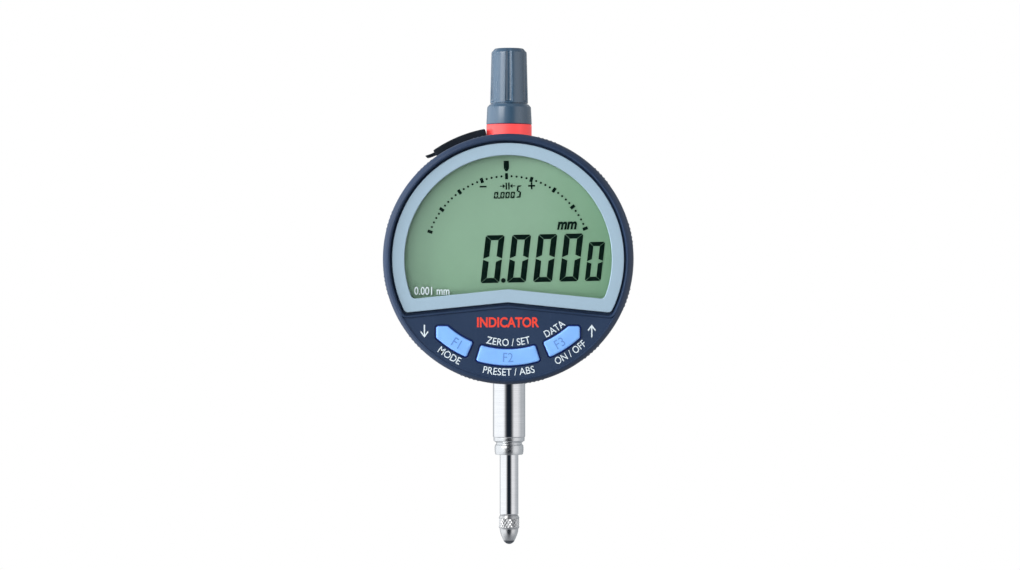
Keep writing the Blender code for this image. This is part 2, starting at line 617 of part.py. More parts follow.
def make_lug():
    """The screwed-on lug: a round base and an ear with a cross hole."""
    lug = rod("lug", 9.5 * MM, LUG_BASE_Y, 11.2 * MM, steps=ROUND_MEDIUM,
              material="navy_plastic")
    tip = [(LUG_HOLE_Y + x, z) for x, z in arc(LUG_R, -math.pi / 2, math.pi / 2, 10)]
    outline = [(10.5 * MM, LUG_R), (10.5 * MM, -LUG_R)] + tip
    turns = [2 * math.pi * step / ROUND_MEDIUM for step in range(ROUND_MEDIUM)]
    hole = [(LUG_HOLE_Y + LUG_HOLE_R * math.cos(turn), LUG_HOLE_R * math.sin(turn))
            for turn in turns]
    join(lug, prism("tool_ear", outline, -LUG_HALF, LUG_HALF, "X"))
    cut(lug, prism("tool_ear_hole", hole, -2 * LUG_HALF, 2 * LUG_HALF, "X"))
    profile = [(0.0, 8.0 * MM), (0.9 * MM, 8.0 * MM), (0.9 * MM, 11.5 * MM),
               (1.6 * MM, 11.5 * MM), (1.6 * MM, 12.2 * MM), (1.2 * MM, 12.5 * MM),
               (0.0, 12.5 * MM)]
    for number, side in enumerate((-1, 1), 1):
        spot = (0.0, side * LUG_SCREW_Z)
        cut(lug, rod(f"tool_lug_hole_{number}", 1.2 * MM, 9 * MM, 12 * MM, "Y", spot))
        turned(f"lug_screw_{number}", profile, ROUND_SMALL, "Y", spot, "spring_steel")


def make_battery():
    """The coin cell in its holder, its contact and its coin-slotted cover."""
    spot = (BATTERY_X, BATTERY_Z)
    well = BATTERY_R + GAP
    outer = 6.9 * MM
    holder = [(well, -4.3 * MM), (outer, -4.3 * MM), (outer, 7.2 * MM), (well, 7.2 * MM),
              (well, 0.9 * MM), (0.0, 0.9 * MM), (0.0, 0.2 * MM), (well, 0.2 * MM)]
    turned("battery_holder", holder, ROUND_MEDIUM, "Y", spot, "inner_plastic")
    contact = [(0.0, 1.45 * MM), (2.0 * MM, 1.2 * MM), (4.2 * MM, 1.2 * MM),
               (4.2 * MM, 1.4 * MM), (2.1 * MM, 1.4 * MM), (0.0, 1.7 * MM)]
    turned("battery_contact", contact, ROUND_SMALL, "Y", spot, "spring_steel")
    cell = [(0.0, 2.0 * MM), (4.9 * MM, 2.0 * MM), (4.9 * MM, 2.3 * MM),
            (BATTERY_R, 2.5 * MM), (BATTERY_R, 7.2 * MM), (5.6 * MM, 7.4 * MM),
            (0.0, 7.4 * MM)]
    turned("battery", cell, ROUND_MEDIUM, "Y", spot, "polished_steel")
    lid = [(0.0, 7.7 * MM), (6.3 * MM, 7.7 * MM), (6.3 * MM, 9.3 * MM), (6.0 * MM, 9.6 * MM),
           (0.0, 9.6 * MM)]
    cover = turned("battery_cover", lid, ROUND_MEDIUM, "Y", spot, "inner_plastic")
    slot = box("tool_coin_slot", (BATTERY_X - 4.5 * MM, 8.9 * MM, BATTERY_Z - 0.7 * MM),
               (BATTERY_X + 4.5 * MM, 10 * MM, BATTERY_Z + 0.7 * MM))
    for piece in (cover, slot):
        move_origin(piece, BATTERY_X, 0.0, BATTERY_Z)
    cut(cover, slot)


def make_data_port():
    """The data socket in the case wall and the rubber cover that plugs it."""
    socket = port_block("data_socket", 4.4 * MM, 1.35 * MM, 22.5 * MM, 29.3 * MM,
                        "inner_plastic")
    cut(socket, port_block("tool_socket_hollow", 3.6 * MM, 0.8 * MM, 25.0 * MM, 30 * MM))
    inner = CASE_R + GAP
    body = (arc(inner, PORT_START, PORT_END, 8)
            + arc(PORT_OUT_R, PORT_END, PORT_START, 8))
    tab_r = PORT_OUT_R - 0.45 * MM
    tab_start = PORT_END - math.radians(0.6)
    tab = (arc(tab_r, tab_start, PORT_TAB_END, 3)
           + arc(PORT_OUT_R - 0.02 * MM, PORT_TAB_END, tab_start, 3))
    cover = prism("port_cover", body, -4.2 * MM, 5.8 * MM, material="black_rubber")
    pull = prism("tool_pull_tab", tab, -2.2 * MM, 3.8 * MM)
    plug = port_block("tool_plug", 3.2 * MM, 0.5 * MM, 27.5 * MM, 31 * MM)
    hinge_x, hinge_z = PORT_OUT_R * math.cos(PORT_START), PORT_OUT_R * math.sin(PORT_START)
    for piece in (cover, pull, plug):
        move_origin(piece, hinge_x, 0.0, hinge_z)
    join(cover, pull, plug)


def main():
    for obj in list(bpy.data.objects):
        bpy.data.objects.remove(obj, do_unlink=True)
    centre = bpy.data.objects.new("dial_centre", None)
    centre.location = (0.0, 0.0, CLAMP_DROP)
    bpy.context.collection.objects.link(centre)
    make_display_housing()
    make_window()
    make_main_board()
    make_keys()
    make_display_back()
    make_rear_case()
    make_turn_bearing()
    make_sensor()
    make_stem()
    make_spindle()
    make_spindle_fittings()
    make_return_spring()
    make_spindle_cap()
    make_back_cover()
    make_lug()
    make_battery()
    make_data_port()


main()
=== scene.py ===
"""Looks of a digital dial indicator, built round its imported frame.

Outlines are in millimetres from the dial's centre: x to the right, z up and y to the back.
Each piece is a grid of points worked out at once, or a profile carried along a path.
"""
import json
import math

import bmesh
import bpy
import numpy as np
from bpy.props import (FloatProperty, FloatVectorProperty, IntProperty, PointerProperty,
                       StringProperty)
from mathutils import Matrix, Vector


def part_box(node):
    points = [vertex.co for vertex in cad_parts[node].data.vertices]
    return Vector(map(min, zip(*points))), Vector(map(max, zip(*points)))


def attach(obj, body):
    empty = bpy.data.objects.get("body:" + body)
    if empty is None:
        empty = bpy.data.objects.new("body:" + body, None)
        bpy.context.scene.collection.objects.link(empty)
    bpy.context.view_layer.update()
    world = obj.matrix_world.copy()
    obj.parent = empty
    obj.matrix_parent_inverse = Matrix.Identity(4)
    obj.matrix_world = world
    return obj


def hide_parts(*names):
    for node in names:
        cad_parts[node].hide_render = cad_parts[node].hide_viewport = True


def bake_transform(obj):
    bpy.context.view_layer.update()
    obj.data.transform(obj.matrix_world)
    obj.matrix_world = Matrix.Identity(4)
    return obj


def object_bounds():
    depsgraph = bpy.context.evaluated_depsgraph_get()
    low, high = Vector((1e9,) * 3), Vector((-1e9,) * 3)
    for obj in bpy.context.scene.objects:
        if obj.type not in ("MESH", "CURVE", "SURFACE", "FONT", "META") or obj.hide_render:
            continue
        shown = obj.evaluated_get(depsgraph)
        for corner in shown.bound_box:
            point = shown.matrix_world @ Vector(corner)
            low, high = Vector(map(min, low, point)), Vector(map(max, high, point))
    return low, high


bl_info = {
    "name": "Dial Indicator",
    "version": (1, 0, 0),
    "blender": (4, 5, 0),
    "location": "3D View > Sidebar > Indicator",
    "description": "Builds the pieces and finishes of a digital dial indicator",
    "category": "Object",
}

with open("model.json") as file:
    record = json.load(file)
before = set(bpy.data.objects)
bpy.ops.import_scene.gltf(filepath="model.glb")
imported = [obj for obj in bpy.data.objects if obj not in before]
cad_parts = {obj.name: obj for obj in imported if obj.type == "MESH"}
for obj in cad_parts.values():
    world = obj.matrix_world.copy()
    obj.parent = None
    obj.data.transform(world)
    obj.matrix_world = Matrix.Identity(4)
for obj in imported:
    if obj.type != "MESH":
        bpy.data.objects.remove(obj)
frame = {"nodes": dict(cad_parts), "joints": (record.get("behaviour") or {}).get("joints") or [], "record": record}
CAD_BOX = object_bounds()

MM = 0.001
TAU = 2 * math.pi
DOWN = -math.pi / 2
JOINTS = {joint["name"]: joint for joint in frame["joints"]}
DIAL_Z = JOINTS["display_turn"]["pos_m"][2]


def measure(name):
    """A CAD node's lowest and highest corners, in millimetres from the dial's centre."""
    low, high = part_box(name)
    shift = np.array([0.0, 0.0, DIAL_Z])
    return (np.array(low) - shift) / MM, (np.array(high) - shift) / MM


HOUSING_LOW, HOUSING_HIGH = measure("display_housing")
BAND_LOW, BAND_HIGH = measure("window_frame")
LENS_LOW, LENS_HIGH = measure("window_lens")
PANEL_LOW = measure("lcd_panel")[0]
CASE_HIGH = measure("rear_case")[1]
COVER_LOW, COVER_HIGH = measure("back_cover")
LUG_LOW = measure("lug")[0]
STEM_LOW, STEM_HIGH = measure("stem")
SPINDLE_LOW, SPINDLE_HIGH = measure("spindle")
POINT_HIGH = measure("contact_point")[1]
BALL_LOW = measure("contact_ball")[0]
CAP_LOW, CAP_HIGH = measure("spindle_cap")
RING_LOW, RING_HIGH = measure("cap_ring")
LID_LOW, LID_HIGH = measure("battery_cover")
LID_CENTRE = (LID_LOW[0] + LID_HIGH[0]) / 2, (LID_LOW[2] + LID_HIGH[2]) / 2
FLAP_LOW, FLAP_HIGH = measure("port_cover")
SPRING_LOW, SPRING_HIGH = measure("return_spring")

RIM_R = HOUSING_HIGH[0]
LIP_Y = HOUSING_LOW[1]
FACE_Y = LIP_Y + 0.3
CASE_R = COVER_HIGH[0]
V_SLOPE = 0.1007
KEY_ANGLES = {"left": -121.5, "middle": -90.0, "right": -58.5}
KEY_INNER_R, KEY_MID_R, KEY_OUTER_R = 21.9, 23.9, 25.9
KEY_CLEARANCE = 0.33
PORT_ANGLE = math.radians(112.65)
PORT_Y = 0.8
COVER_SCREW_R = 25.5
LID_HOLE_R = 6.6
SCALE_R = 20.15


# Settings -----------------------------------------------------------------------------


class DisplaySettings(bpy.types.PropertyGroup):
    """The turning display: its shell, window, figures and keys."""
    grip_height: FloatProperty(name="Grip height", default=0.16 * MM, unit="LENGTH",
                               description="How far the fine ribs on the rim stand up")
    grip_patches: IntProperty(name="Grip patches", default=12, min=0,
                              description="How many ribbed patches the rim carries")
    reading: StringProperty(name="Reading", default="0.000",
                            description="Figures shown at full height")
    last_figure: StringProperty(name="Last figure", default="0",
                                description="The smaller figure at the end of the reading")
    panel_tilt: FloatProperty(name="Panel tilt", default=math.radians(1.15), unit="ROTATION",
                              description="How far the panel sits turned in its frame")
    shell_colour: FloatVectorProperty(name="Shell", size=3, subtype="COLOR",
                                      default=(0.016, 0.034, 0.077),
                                      description="Moulded plastic of the shell and the case")
    band_colour: FloatVectorProperty(name="Band", size=3, subtype="COLOR",
                                     default=(0.38, 0.515, 0.62),
                                     description="Satin paint of the band round the window")
    panel_colour: FloatVectorProperty(name="Panel", size=3, subtype="COLOR",
                                      default=(0.275, 0.425, 0.315),
                                      description="The liquid crystal panel when clear")
    ink_colour: FloatVectorProperty(name="Segments", size=3, subtype="COLOR",
                                    default=(0.0006, 0.005, 0.0035),
                                    description="The panel's dark segments")
    key_colour: FloatVectorProperty(name="Keys", size=3, subtype="COLOR",
                                    default=(0.235, 0.475, 0.94),
                                    description="The three soft keys")
    print_colour: FloatVectorProperty(name="Print", size=3, subtype="COLOR",
                                      default=(0.70, 0.78, 0.82),
                                      description="The printed legends")
    name_colour: FloatVectorProperty(name="Plain name", size=3, subtype="COLOR",
                                     default=(0.80, 0.055, 0.03),
                                     description="The word printed above the keys")


class SpindleSettings(bpy.types.PropertyGroup):
    """The spindle, its contact point and its cap."""
    knurl_count: IntProperty(name="Knurl teeth", default=20, min=8,
                             description="Diamonds round the contact point")
    knurl_depth: FloatProperty(name="Knurl depth", default=0.2 * MM, unit="LENGTH",
                               description="Depth of the grooves between the diamonds")
    flute_count: IntProperty(name="Flutes", default=6, min=0,
                             description="Flutes round the cap, one of them to the front")
    flute_radius: FloatProperty(name="Flute radius", default=1.08 * MM, unit="LENGTH",
                                description="Radius of the round tool that cuts a flute")
    cap_colour: FloatVectorProperty(name="Cap", size=3, subtype="COLOR",
                                    default=(0.034, 0.078, 0.132),
                                    description="Plastic of the cap")
    ring_colour: FloatVectorProperty(name="Ring", size=3, subtype="COLOR",
                                     default=(1.0, 0.075, 0.075),
                                     description="The ring under the cap")


class StageSettings(bpy.types.PropertyGroup):
    """The camera, the lights and the floor."""
    distance: FloatProperty(name="Distance", default=0.770, unit="LENGTH",
                            description="From the camera to the spindle's axis")
    sideways: FloatProperty(name="Sideways", default=0.012, unit="LENGTH",
                            description="How far the camera stands to the right")
    height: FloatProperty(name="Height", default=0.03087, unit="LENGTH",
                          description="Height of the camera in the frame")
    aim: FloatProperty(name="Aim", default=0.01529, unit="ROTATION",
                       description="How far the camera turns to its left")
    lens: FloatProperty(name="Lens", default=109.7, unit="CAMERA",
                        description="Focal length on a 36 mm sensor")
    floor_drop: FloatProperty(name="Floor drop", default=0.09, unit="LENGTH",
                              description="How far the floor lies below the contact point")


# Shapes -------------------------------------------------------------------------------


def grid_faces(rows, columns, wrap_rows=False, wrap_columns=True):
    """Four-sided faces between neighbouring rows and columns of a grid of points."""
    row, column = np.meshgrid(np.arange(rows if wrap_rows else rows - 1),
                              np.arange(columns if wrap_columns else columns - 1),
                              indexing="ij")
    next_row, next_column = (row + 1) % rows, (column + 1) % columns
    faces = np.stack([row * columns + column, row * columns + next_column,
                      next_row * columns + next_column, next_row * columns + column], -1)
    return faces.reshape(-1, 4)


def loft(loops, ring=False, caps=True):
    """A skin over closed loops of equal length: row after row, each loop joined to the next.

    A ring joins the last loop to the first. Otherwise caps close the two ends.
    """
    loops = np.asarray(loops, float)
    rows, columns = loops.shape[:2]
    faces = grid_faces(rows, columns, wrap_rows=ring).tolist()
    if caps and not ring:
        faces.append(list(range(columns)))
        faces.append(list(range((rows - 1) * columns, rows * columns)))
    return loops.reshape(-1, 3), faces


def at_depth(loop, depth):
    """A flat (x, z) loop set at a depth along y."""
    loop = np.asarray(loop, float)
    depth = np.broadcast_to(depth, len(loop))
    return np.stack([loop[:, 0], depth, loop[:, 1]], -1)


def swept(radius, level, angle, axis="Z"):
    """Rows of points round an axis: x and y, or x and z, are the radius times the cosine and
    sine of the angle, and the level runs along the axis."""
    across, up = radius * np.cos(angle), radius * np.sin(angle)
    along = np.broadcast_to(level, across.shape)
    return np.stack((across, along, up) if axis == "Y" else (across, up, along), -1)


def turned(profile, steps=192, axis="Z", centre=(0.0, 0.0), ring=True):
    """A (radius, height) profile swept right round an axis.

    A ring's profile closes on itself. Otherwise it starts and ends on the axis.
    """
    profile = np.asarray(profile, float)
    loops = swept(profile[:, :1], profile[:, 1:], np.arange(steps) * TAU / steps, axis)
    shift = (centre[0], 0.0, centre[1]) if axis == "Y" else (centre[0], centre[1], 0.0)
    return loft(loops + shift, ring=ring, caps=False)


def rounded(points, radii, steps=4, closed=True):
    """Corners turned into arcs: each touches its two sides at the radius divided by the
    tangent of half the corner's angle, or nearer where a side is short."""
    points = np.asarray(points, float)
    radii = np.broadcast_to(radii, len(points))
    parts = []
    for index, (here, radius) in enumerate(zip(points, radii)):
        if radius == 0 or (not closed and index in (0, len(points) - 1)):
            parts.append(here[None])
            continue
        back = points[index - 1] - here
        ahead = points[(index + 1) % len(points)] - here
        sides = np.linalg.norm(back), np.linalg.norm(ahead)
        back, ahead = back / sides[0], ahead / sides[1]
        half = math.acos(max(-1.0, min(1.0, float(back @ ahead)))) / 2
        if half > 1.55:
            parts.append(here[None])
            continue
        reach = min(radius / math.tan(half), 0.49 * min(sides))
        radius = reach * math.tan(half)
        middle = back + ahead
        centre = here + middle / np.linalg.norm(middle) * radius / math.sin(half)
        share = np.linspace(0, 1, steps + 1)[:, None]
        spokes = (here + back * reach) * (1 - share) + (here + ahead * reach) * share - centre
        parts.append(centre + spokes / np.linalg.norm(spokes, axis=1)[:, None] * radius)
    return np.concatenate(parts)


def grown(loop, distance):
    """A loop moved outward: each point shifts along the bisector of its sides' normals."""
    side = np.roll(loop, -1, axis=0) - loop
    normal = np.stack([side[:, 1], -side[:, 0]], -1)
    normal /= np.linalg.norm(normal, axis=1)[:, None]
    before = np.roll(normal, 1, axis=0)
    share = 1 + np.sum(before * normal, axis=1)
    return loop + distance * (before + normal) / share[:, None]


def arc(radius, start, end, count):
    """Points of an arc round the dial's centre, with angles in radians from +x."""
    angle = np.linspace(start, end, count)
    return np.stack([radius * np.cos(angle), radius * np.sin(angle)], -1)


def dee(radius, drop, corner=1.0):
    """A circle cut off below by a shallow V, in the order of growing angle.

    Each corner's arc touches the circle and the V's line, so its centre lies one corner
    radius inside both.
    """
    stretch = math.hypot(1, V_SLOPE)
    inner = radius - corner
    rise = corner * stretch - drop
    slant = V_SLOPE * rise
    x = (slant + math.sqrt(slant ** 2 - stretch ** 2 * (rise ** 2 - inner ** 2))) / stretch ** 2
    z = rise - V_SLOPE * x
    turn = math.atan2(z, x)
    right = arc(corner, math.atan2(-1, -V_SLOPE), turn, 9) + (x, z)
    left = right[::-1] * (-1, 1)
    over = arc(radius, turn, math.pi - turn, 170)[1:-1]
    share = np.linspace(0, 1, 8)[1:, None]
    apex = np.array([0.0, -drop])
    line_left = left[-1] + (apex - left[-1]) * share
    line_right = apex + (right[0] - apex) * share
    return np.concatenate([right, over, left, line_left, line_right[:-1]])


def key_outline(key):
    """A key seen from the front: a ring sector, and for the outer two one that is cut off
    level above and upright outside."""
    inner, outer = KEY_INNER_R, KEY_OUTER_R
    if key == "middle":
        half = math.radians(17.5)
        low = arc(inner, DOWN + half, DOWN - half, 13)
        high = arc(outer, DOWN - half, DOWN + half, 13)
        radii = np.zeros(26)
        radii[[0, 12, 13, 25]] = 0.5
        return rounded(np.concatenate([low, high]), radii, 6)
    start, level, upright = math.radians(22.9), -16.3, 17.45
    low = arc(inner, DOWN + math.acos(-level / inner), DOWN + start, 8)
    high = arc(outer, DOWN + start, DOWN + math.asin(upright / outer), 9)
    points = np.concatenate([low, high, [(upright, level)]])
    radii = np.zeros(len(points))
    radii[[0, 7, 8, 16, 17]] = (0.6, 0.5, 0.5, 0.5, 0.6)
    outline = rounded(points, radii, 6)
    return outline if key == "right" else outline[::-1] * (-1, 1)


def prism(outline, front, back):
    """A flat (x, z) outline given thickness along y."""
    return loft([at_depth(outline, front), at_depth(outline, back)])


def flat_mesh(data, depth, axis="Y"):
    """A filled curve's or a text's own mesh, stood up in the frame and then removed.

    Its thickness runs along y about the given depth, or along x.
    """
    holder = bpy.data.objects.new("holder", data)
    bpy.context.scene.collection.objects.link(holder)
    mesh = bpy.data.meshes.new_from_object(holder)
    points = np.empty(len(mesh.vertices) * 3)
    mesh.vertices.foreach_get("co", points)
    points = points.reshape(-1, 3)
    faces = [list(face.vertices) for face in mesh.polygons]
    bpy.data.objects.remove(holder)
    bpy.data.meshes.remove(mesh)
    if axis == "X":
        return np.stack([points[:, 2] + depth, points[:, 0], points[:, 1]], -1), faces
    return np.stack([points[:, 0], depth - points[:, 2], points[:, 1]], -1), faces


def plate(loops, low, high, bevel, axis="Y"):
    """A flat curve, filled between its outer loop and its holes, with rounded edges."""
    curve = bpy.data.curves.new("plate", "CURVE")
    curve.dimensions = "2D"
    curve.fill_mode = "BOTH"
    curve.extrude = (high - low) / 2 - bevel
    curve.bevel_depth = bevel
    curve.bevel_resolution = 3
    curve.offset = -bevel
    for loop in loops:
        spline = curve.splines.new("POLY")
        spline.points.add(len(loop) - 1)
        flat = np.concatenate([loop, np.zeros((len(loop), 1)), np.ones((len(loop), 1))], 1)
        spline.points.foreach_set("co", flat.ravel())
        spline.use_cyclic_u = True
    shell = flat_mesh(curve, (low + high) / 2, axis)
    bpy.data.curves.remove(curve)
    return shell


def lettering(text, cap_height, narrow=0.86, weight=0.012, depth=0.05, lean=0.0):
    """Text as a thin solid: x from its middle, y its thickness and z from its baseline."""
    data = bpy.data.curves.new("lettering", "FONT")
    data.body = text
    data.align_x = "CENTER"
    data.extrude = 0.5
    data.offset = weight
    data.shear = lean
    data.resolution_u = 5
    points, faces = flat_mesh(data, 0.0)
    bpy.data.curves.remove(data)
    capital = 0.7 + 2 * weight
    points[:, 0] *= narrow * cap_height / capital
    points[:, 0] -= (points[:, 0].min() + points[:, 0].max()) / 2
    points[:, 1] *= depth
    points[:, 2] = (points[:, 2] + weight) * cap_height / capital
    return points, faces


def bent(shell, radius, degrees, depth):
    """Lettering laid along the ring, its tops to the dial's centre: a point's way along the
    baseline, divided by the radius, is its angle, and its height comes off the radius."""
    points, faces = shell
    height = points[:, 2].max()
    angle = math.radians(degrees) + points[:, 0] / radius
    reach = radius + height / 2 - points[:, 2]
    placed = np.stack([reach * np.cos(angle), points[:, 1] + depth, reach * np.sin(angle)], -1)
    return placed, faces


def shifted(shell, x, y, z):
    """A shell moved by a step."""
    points, faces = shell
    return points + (x, y, z), faces


def piece(name, shells, body, material, replaces=(), smooth=32.0):
    """One object from closed shells: their doubles merged, their faces turned outward, its
    place in its mesh, riding on a body and standing for the CAD nodes that it replaces.

    Edges sharper than the given degrees stay sharp, and large flats keep flat shading.
    """
    points, faces, base = [], [], 0
    for shell_points, shell_faces in shells:
        points.append(shell_points)
        faces.extend([[base + corner for corner in face] for face in shell_faces])
        base += len(shell_points)
    row = np.concatenate(points) * MM + (0.0, 0.0, DIAL_Z)
    mesh = bpy.data.meshes.new(name)
    mesh.from_pydata(row.tolist(), [], faces)
    work = bmesh.new()
    work.from_mesh(mesh)
    bmesh.ops.remove_doubles(work, verts=work.verts, dist=1e-7)
    bmesh.ops.dissolve_degenerate(work, edges=work.edges, dist=1e-8)
    bmesh.ops.recalc_face_normals(work, faces=work.faces)
    work.to_mesh(mesh)
    work.free()
    mesh.materials.append(material)
    mesh.shade_smooth()
    mesh.set_sharp_from_angle(angle=math.radians(smooth))
    obj = bpy.data.objects.new(name, mesh)
    bpy.context.scene.collection.objects.link(obj)
    if body:
        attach(obj, body)
    if replaces:
        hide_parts(*replaces)
    level = obj.modifiers.new("flats", "WEIGHTED_NORMAL")
    level.keep_sharp = True
    return obj


def smoothstep(value, start, end):
    """A share that eases from nought at the start to one at the end."""
    share = np.clip((value - start) / (end - start), 0, 1)
    return share * share * (3 - 2 * share)


# Finishes -----------------------------------------------------------------------------


def node(tree, kind, inputs=None, **settings):
    """A node with its settings, and its inputs joined to sockets or set to values."""
    made = tree.nodes.new(kind)
    for name, value in settings.items():
        setattr(made, name, value)
    for name, value in (inputs or {}).items():
        if isinstance(value, bpy.types.NodeSocket):
            tree.links.new(value, made.inputs[name])
        else:
            made.inputs[name].default_value = value
    return made


def started(name):
    """A new material's tree, shader and Object coordinates."""
    material = bpy.data.materials.new(name)
    material.use_nodes = True
    tree = material.node_tree
    coords = node(tree, "ShaderNodeTexCoord").outputs["Object"]
    return material, tree, tree.nodes["Principled BSDF"], coords


def scaled(tree, coords, scale):
    """Coordinates stretched along each axis, to draw a pattern out into lines."""
    return node(tree, "ShaderNodeMapping", {"Vector": coords, "Scale": scale}).outputs[0]


def noise(tree, coords, scale, detail=2.0):
    """Cloudy noise with so many cells to the metre."""
    return node(tree, "ShaderNodeTexNoise",
                {"Vector": coords, "Scale": scale, "Detail": detail}).outputs[0]


def spread(tree, value, low, high, to_low=0.0, to_high=1.0):
    """A value's range carried over to another range."""
    return node(tree, "ShaderNodeMapRange",
                {"Value": value, "From Min": low, "From Max": high,
                 "To Min": to_low, "To Max": to_high}).outputs[0]


def maths(tree, operation, first, second):
    """Two values put together."""
    return node(tree, "ShaderNodeMath", {0: first, 1: second}, operation=operation).outputs[0]


def mixed(tree, factor, first, second):
    """One colour passing into another."""
    made = node(tree, "ShaderNodeMix", {0: factor, 6: first, 7: second}, data_type="RGBA")
    return made.outputs[2]


def rgba(colour, gain=1.0):
    """A colour made lighter or darker, with full cover."""
    return tuple(min(1.0, channel * gain) for channel in colour[:3]) + (1.0,)


def bumped(tree, shader, height, distance, strength=1.0):
    """Relief on the shader, its height in metres."""
    relief = node(tree, "ShaderNodeBump",
                  {"Height": height, "Distance": distance, "Strength": strength})
    tree.links.new(relief.outputs[0], shader.inputs["Normal"])


def moulded(name, colour, roughness=0.42, grain=3400.0, depth=0.010, mottle=0.10, rub=0.25,
            specular=0.5, coat=0.0, painted_glow=0.0):
    """Moulded plastic: the tool's even grain, slow drifts of tone and faint rubbed streaks.
    It may have a glossy coat and a painted glow: a little emission of its own colour, as if self-lit."""
    material, tree, shader, coords = started(name)
    drift = noise(tree, coords, 70.0, 4.0)
    streaks = noise(tree, scaled(tree, coords, (1.0, 0.35, 0.12)), 1500.0, 3.0)
    fine = noise(tree, coords, grain)
    worn = maths(tree, "MULTIPLY", spread(tree, streaks, 0.56, 0.74), rub)
    tone = mixed(tree, spread(tree, drift, 0.3, 0.7), rgba(colour, 1 - mottle),
                 rgba(colour, 1 + mottle))
    tone = mixed(tree, worn, tone, rgba([channel * 1.25 + 0.01 for channel in colour]))
    tree.links.new(tone, shader.inputs["Base Color"])
    dullness = spread(tree, drift, 0.3, 0.7, roughness - 0.05, roughness + 0.07)
    gloss = maths(tree, "SUBTRACT", dullness, maths(tree, "MULTIPLY", worn, 0.25))
    tree.links.new(gloss, shader.inputs["Roughness"])
    shader.inputs["Specular IOR Level"].default_value = specular
    shader.inputs["Coat Weight"].default_value = coat
    shader.inputs["Coat Roughness"].default_value = 0.12
    # painted glow: emission of the plastic's own colour, at the given strength
    shader.inputs["Emission Color"].default_value = rgba(colour)
    shader.inputs["Emission Strength"].default_value = painted_glow
    bumped(tree, shader, fine, depth * MM)
    return material


def satin_paint(name, colour):
    """Fine metallic paint: tiny bright flakes under a thin satin coat."""
    material, tree, shader, coords = started(name)
    flakes = node(tree, "ShaderNodeTexVoronoi", {"Vector": coords, "Scale": 9000.0}).outputs[1]
    flake = node(tree, "ShaderNodeSeparateColor", {0: flakes}).outputs[0]
    drift = noise(tree, coords, 60.0, 3.0)
    tone = mixed(tree, spread(tree, flake, 0.0, 1.0), rgba(colour, 0.95), rgba(colour, 1.06))
    tone = mixed(tree, spread(tree, drift, 0.3, 0.7, 0.0, 0.3), tone, rgba(colour, 0.93))
    tree.links.new(tone, shader.inputs["Base Color"])
    tree.links.new(spread(tree, flake, 0.0, 1.0, 0.34, 0.46), shader.inputs["Roughness"])
    shader.inputs["Metallic"].default_value = 0.18
    shader.inputs["Coat Weight"].default_value = 0.12
    shader.inputs["Coat Roughness"].default_value = 0.2
    bumped(tree, shader, noise(tree, coords, 5200.0), 0.004 * MM)
    return material


def turned_metal(name, colour, roughness=0.16, rings=7000.0, depth=0.0016, along=(0.02, 0.02, 1.0),
                 tint=0.06):
    """Turned or ground metal: hair-fine rings round its axis in tone, gloss and relief."""
    material, tree, shader, coords = started(name)
    lines = noise(tree, scaled(tree, coords, along), rings, 3.0)
    drift = noise(tree, coords, 260.0, 4.0)
    tone = mixed(tree, spread(tree, lines, 0.3, 0.7), rgba(colour, 1 - tint), rgba(colour, 1 + tint))
    tone = mixed(tree, spread(tree, drift, 0.45, 0.75, 0.0, 0.35), tone, rgba(colour, 0.86))
    tree.links.new(tone, shader.inputs["Base Color"])
    rough = maths(tree, "ADD", spread(tree, lines, 0.3, 0.7, roughness * 0.8, roughness * 1.2),
                  spread(tree, drift, 0.4, 0.8, 0.0, 0.05))
    tree.links.new(rough, shader.inputs["Roughness"])
    shader.inputs["Metallic"].default_value = 1.0
    bumped(tree, shader, lines, depth * MM)
    return material


def sintered(name, colour):
    """Porous bearing bronze: small dark pores in a dull, faintly ringed face."""
    material, tree, shader, coords = started(name)
    pores = node(tree, "ShaderNodeTexVoronoi", {"Vector": coords, "Scale": 5200.0}).outputs[0]
    open_pores = spread(tree, pores, 0.12, 0.3)
    drift = noise(tree, coords, 700.0, 4.0)
    tone = mixed(tree, spread(tree, drift, 0.3, 0.7), rgba(colour, 0.8), rgba(colour, 1.15))
    tree.links.new(mixed(tree, open_pores, rgba(colour, 0.2), tone), shader.inputs["Base Color"])
    tree.links.new(spread(tree, drift, 0.3, 0.7, 0.28, 0.5), shader.inputs["Roughness"])
    shader.inputs["Metallic"].default_value = 1.0
    bumped(tree, shader, open_pores, 0.01 * MM)
    return material


def rubber(name, colour):
    """Soft black rubber: a dull pebbled face with a bloom of grey and a soft sheen."""
    material, tree, shader, coords = started(name)
    pebble = noise(tree, coords, 2600.0, 3.0)
    bloom = noise(tree, coords, 240.0, 5.0)
    tone = mixed(tree, spread(tree, bloom, 0.42, 0.75), rgba(colour),
                 rgba([channel * 1.6 + 0.004 for channel in colour]))
    tree.links.new(tone, shader.inputs["Base Color"])
    tree.links.new(spread(tree, bloom, 0.3, 0.7, 0.52, 0.70), shader.inputs["Roughness"])
    shader.inputs["Specular IOR Level"].default_value = 0.3
    bumped(tree, shader, pebble, 0.018 * MM)
    return material


